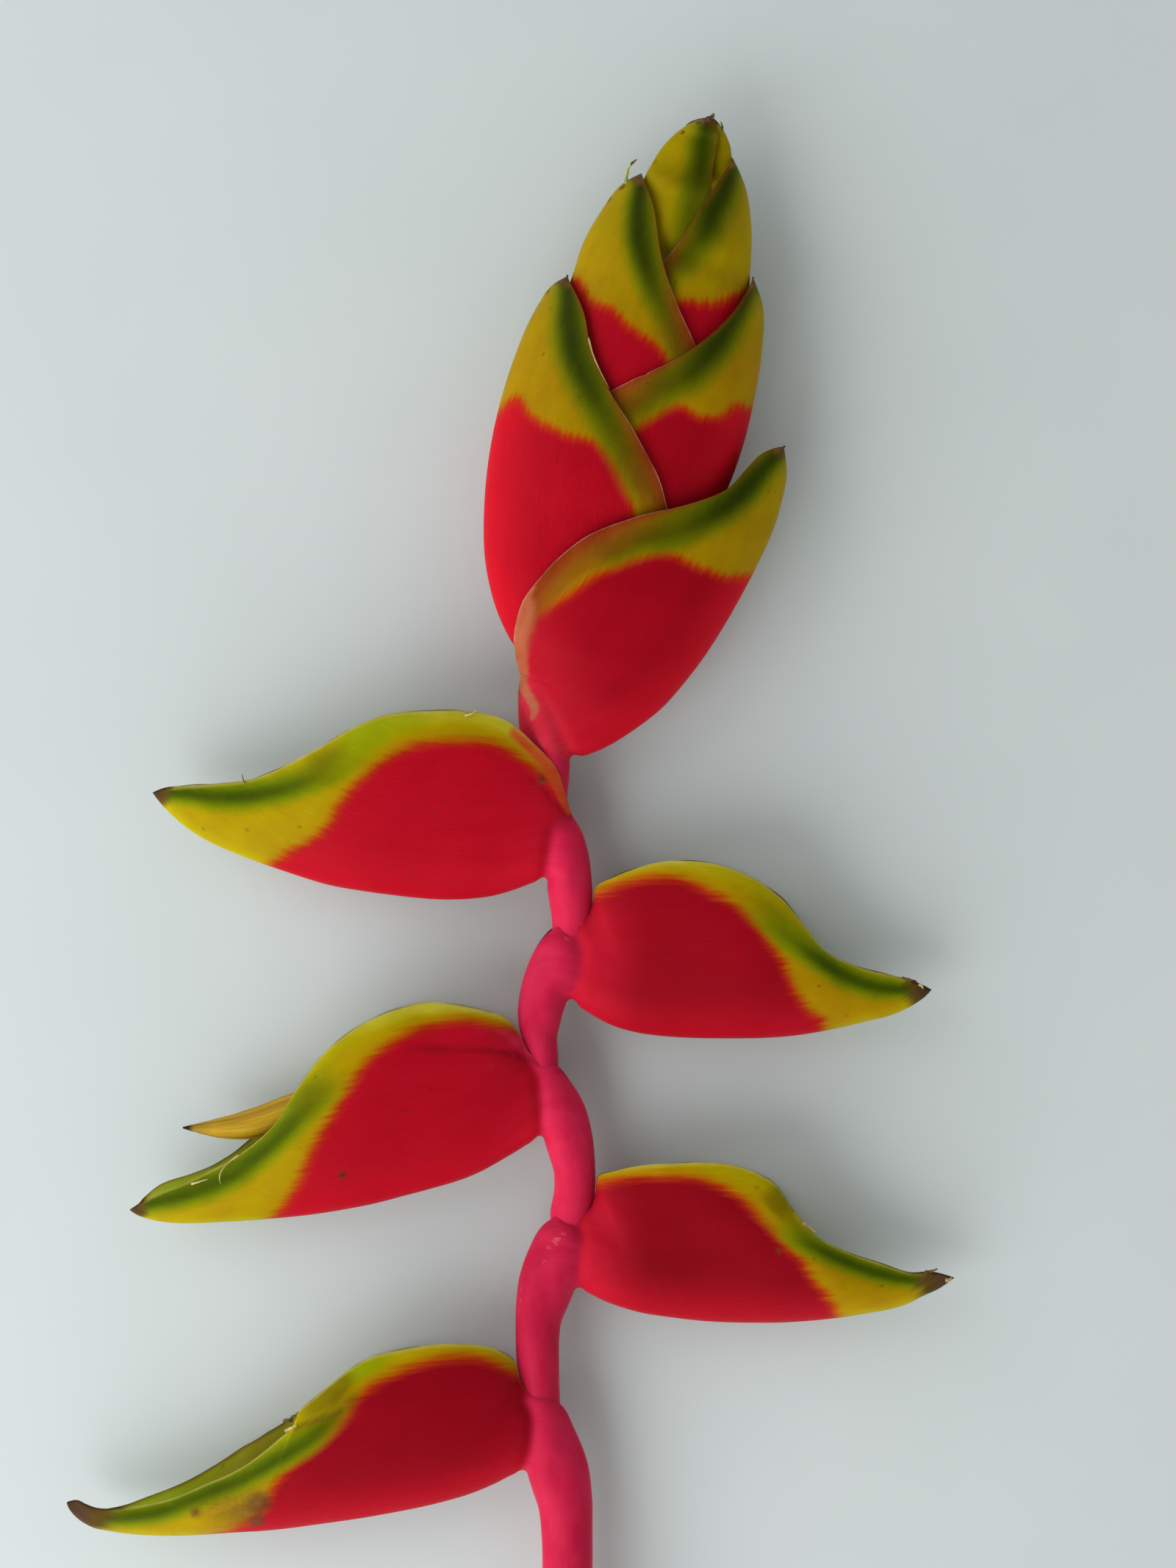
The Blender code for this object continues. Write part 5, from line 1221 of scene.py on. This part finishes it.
# Threads and torn bits lie on or by a bract: points (x, y, height above its skin), half width, thickness
# as a share of the width, how far the end tapers, tissue. All in mm.
scraps = {
    "filament_9": ("bract_09", [(8.3, 130.4, -0.6), (8.4, 132.4, 0.4), (8.8, 134, 0.9), (9.6, 135.1, 1.2)],
        0.42, 0.8, 0.55, "wiltedGreenFilament"),
    "filament_9_tip": ("bract_09", [(9.3, 134.8, 1.1), (9.8, 135.3, 1.3), (10.6, 135.9, 1.4)], 0.32, 0.9,
        0.5, "driedBrownTissue"),
    "stamen_5": ("bract_05", [(-74.7, 0.2, 0), (-75.1, 1.2, 0.6), (-75.3, 2.2, 1)], 0.14, 1, 0.6,
        "driedBrownTissue"),
    "curl_3": ("bract_03", [(-75.6, -80.6, 0), (-77.6, -81.9, 0.5), (-79.4, -83.6, 0.9),
        (-80.2, -85.4, 0.8), (-80, -87.1, 0.3)], 0.26, 0.4, 0.8, "driedCreamMembrane"),
    "shred_3": ("bract_03", [(-86.4, -87.1, 0.1), (-84.4, -86.5, 0.3), (-82.5, -85.9, 0.1)], 0.24, 0.3, 0.7,
        "driedCreamMembrane"),
    "curl_5": ("bract_05", [(-26.8, 14.9, 0.1), (-25.6, 15.2, 0.6), (-24.2, 16.2, 0.7)], 0.26, 0.4, 0.7,
        "driedCreamMembrane"),
    "shred_2": ("bract_02", [(46.6, -95.6, 0.1), (47.8, -96.3, 0.4), (49.2, -97.3, 0.5),
        (49.9, -97.6, 0.4)], 0.5, 0.3, 0.8, "driedCreamMembrane"),
    "spur_2": ("bract_02", [(73.2, -106.2, -0.2), (74.8, -106, 0.1), (76.1, -105.5, 0.4)], 0.34, 0.5, 0.5,
        "driedBrownTissue"),
    "spur_4": ("bract_04", [(68.2, -42.2, -0.3), (70, -42.6, 0.2), (71.6, -43, 0.4)], 0.36, 0.4, 0.6,
        "driedBrownTissue"),
    "break_4": ("bract_04", [(72, -43.6, 0.2), (72.7, -44, 0.4), (72.9, -44.6, 0.3)], 0.34, 0.5, 0.7,
        "driedCreamMembrane"),
    "break_2": ("bract_02", [(77.8, -108, -0.1), (78.6, -107.9, 0.1), (79.2, -107.4, 0.2)], 0.46, 0.6, 0.8,
        "driedCreamMembrane"),
    "edge_7": ("bract_07", [(0.1, 97.2, 0), (1.1, 93.5, 0.1), (2.7, 89.8, 0.1), (4.7, 86, 0)], 0.18, 0.6,
        0.9, "driedCreamMembrane"),
    "crumb_1a": ("bract_01", [(-66.4, -138.7, -1), (-65.2, -138.4, 0), (-64.9, -139, 0)], 0.3, 0.5, 0.5,
        "driedBrownTissue"),
    "crumb_1b": ("bract_01", [(-64.6, -138.8, -1), (-64, -137.6, 0.2), (-63.5, -137.9, 0.2)], 0.32, 0.5,
        0.5, "driedBrownTissue"),
    "shred_1": ("bract_01", [(-66, -140.9, 0), (-64.6, -140.2, 0.3), (-63.4, -139.6, 0.3)], 0.42, 0.5, 0.6,
        "driedCreamMembrane"),
    "flap_11a": ("bract_11", [(21.4, 143.2, -0.6), (23, 144.2, 0.2), (25.2, 144.9, 0.4)], 0.3, 0.4, 0.7,
        "driedBrownTissue"),
    "flap_11b": ("bract_11", [(24.8, 144, 0.2), (26.4, 144.7, 0.4), (27.4, 146, 0)], 0.8, 0.4, 0.85,
        "driedBrownTissue"),
    "flap_12": ("bract_12", [(29.2, 142.2, 0), (29.2, 143.4, 0.2), (28.8, 144.2, 0.3)], 0.22, 0.5, 0.7,
        "driedBrownTissue"),
}
scrapShape = {"rows": 26, "sides": 10, "lift": 0.1, "tapering": 1.5, "start": 0.5, "widens": 6,
              "waver": 0.15, "waves": 17}


def skinHeight(name, x, y):
    # height of a bract's upper skin at or nearest to a place on the plan
    grid = lofts[name]["grid"]
    half = grid.shape[1] // 2
    upper = grid[:, :half] if grid[:, 0, 2].mean() > grid[:, -1, 2].mean() else grid[:, half:]
    upper = upper.reshape(-1, 3)
    return upper[np.argmin((upper[:, 0] - x) ** 2 + (upper[:, 1] - y) ** 2), 2]


def scrapMesh(name, bract, path, halfWidth, flatness, taper, tissue, shape=scrapShape):
    # a thin strip with an oval section
    path = [(x, y, skinHeight(bract, x, y) + lift + shape["lift"]) for x, y, lift in path]
    share = np.linspace(0, 1, shape["rows"])
    width = halfWidth * (1 - taper * share ** shape["tapering"])
    width *= np.minimum(1, shape["start"] + shape["widens"] * share)
    width *= 1 + shape["waver"] * np.sin(share * shape["waves"] + len(name))
    width = np.tile(width[:, None], shape["sides"])
    points, faces = tube(evenly(curveThrough(path), shape["rows"]), width, flatness)
    makeMesh(name, undrawn(points), faces, skins[tissue], grain=points)


for name, scrap in scraps.items():
    scrapMesh(name, *scrap)
print("threads and torn bits made")

floorShape = {"half": 3, "skin": "mattPaintedBoard"}  # metres


def makeFloor():
    half = floorShape["half"]
    mesh = bpy.data.meshes.new("floor")
    mesh.from_pydata([(-half, -half, 0), (half, -half, 0), (half, half, 0), (-half, half, 0)], [],
                     [(0, 1, 2, 3)])
    mesh.materials.append(skins[floorShape["skin"]])
    made = bpy.data.objects.new("floor", mesh)
    bpy.context.scene.collection.objects.link(made)


# Light: two soft boxes, left and towards the stem, and a pale room that is brightest round the horizon
# and dim overhead, as where whoever looks down on the flower stands in the light.
softBoxes = {  # place and aim in metres, size in metres, power in watts
    "keyBox": {"place": (-0.5, -0.55, 0.45), "aim": (0.0, -0.05, 0.0), "size": 0.9, "power": 6.0},
    "leftBox": {"place": (-0.7, 0.35, 0.42), "aim": (0.0, 0.0, 0.0), "size": 0.9, "power": 3.2},
}
room = {"colour": "#F0F2F0", "horizon": 1.5, "overhead": 0.22, "leftward": 0.2, "stemward": 0.25}


def makeLights():
    for name, box in softBoxes.items():
        light = bpy.data.lights.new(name, "AREA")
        light.shape = "DISK"
        light.size = box["size"]
        light.energy = box["power"]
        made = bpy.data.objects.new(name, light)
        bpy.context.scene.collection.objects.link(made)
        made.location = box["place"]
        x, y, z = np.array(box["place"]) - np.array(box["aim"])
        made.rotation_euler = (math.atan2(math.hypot(x, y), z), 0, math.atan2(x, -y))
    world = bpy.data.worlds.new("paleRoom")
    world.use_nodes = True
    tree = world.node_tree
    background = tree.nodes["Background"]
    background.inputs["Color"].default_value = srgb(room["colour"])
    way = addNode(tree, "ShaderNodeTexCoord").outputs["Generated"]
    height = addNode(tree, "ShaderNodeSeparateXYZ", None, {0: way}).outputs["Z"]
    lift = addNode(tree, "ShaderNodeMapRange", {"From Min": 0.0, "From Max": 1.0, "To Min": room["horizon"],
                                                "To Max": room["overhead"]}, {"Value": height})
    lean = addNode(tree, "ShaderNodeVectorMath",
                   {"operation": "DOT_PRODUCT", 1: (-room["leftward"], -room["stemward"], 0)}, {0: way})
    tilted = addNode(tree, "ShaderNodeMath", {"operation": "ADD", 1: 1.0}, {0: lean.outputs["Value"]})
    strength = addNode(tree, "ShaderNodeMath", {"operation": "MULTIPLY"}, {0: lift, 1: tilted})
    tree.links.new(strength.outputs[0], background.inputs["Strength"])
    bpy.context.scene.world = world


# Camera: straight down from the eye, with the spike's tip upwards in the picture.
view = {"verticalAngle": 32.6, "clipStart": 0.01}


def makeCamera():
    camera = bpy.data.cameras.new("eye")
    camera.sensor_fit = "VERTICAL"
    camera.angle_y = math.radians(view["verticalAngle"])
    camera.clip_start = view["clipStart"]
    made = bpy.data.objects.new("eye", camera)
    made.location = toFrame([0.0, 0.0, plan["eyeHeight"] + plan["drawnLevel"]])
    bpy.context.scene.collection.objects.link(made)
    bpy.context.scene.camera = made
    bpy.context.scene.view_settings.view_transform = "Standard"


makeFloor()
makeLights()
makeCamera()
print("floor, light and camera made")
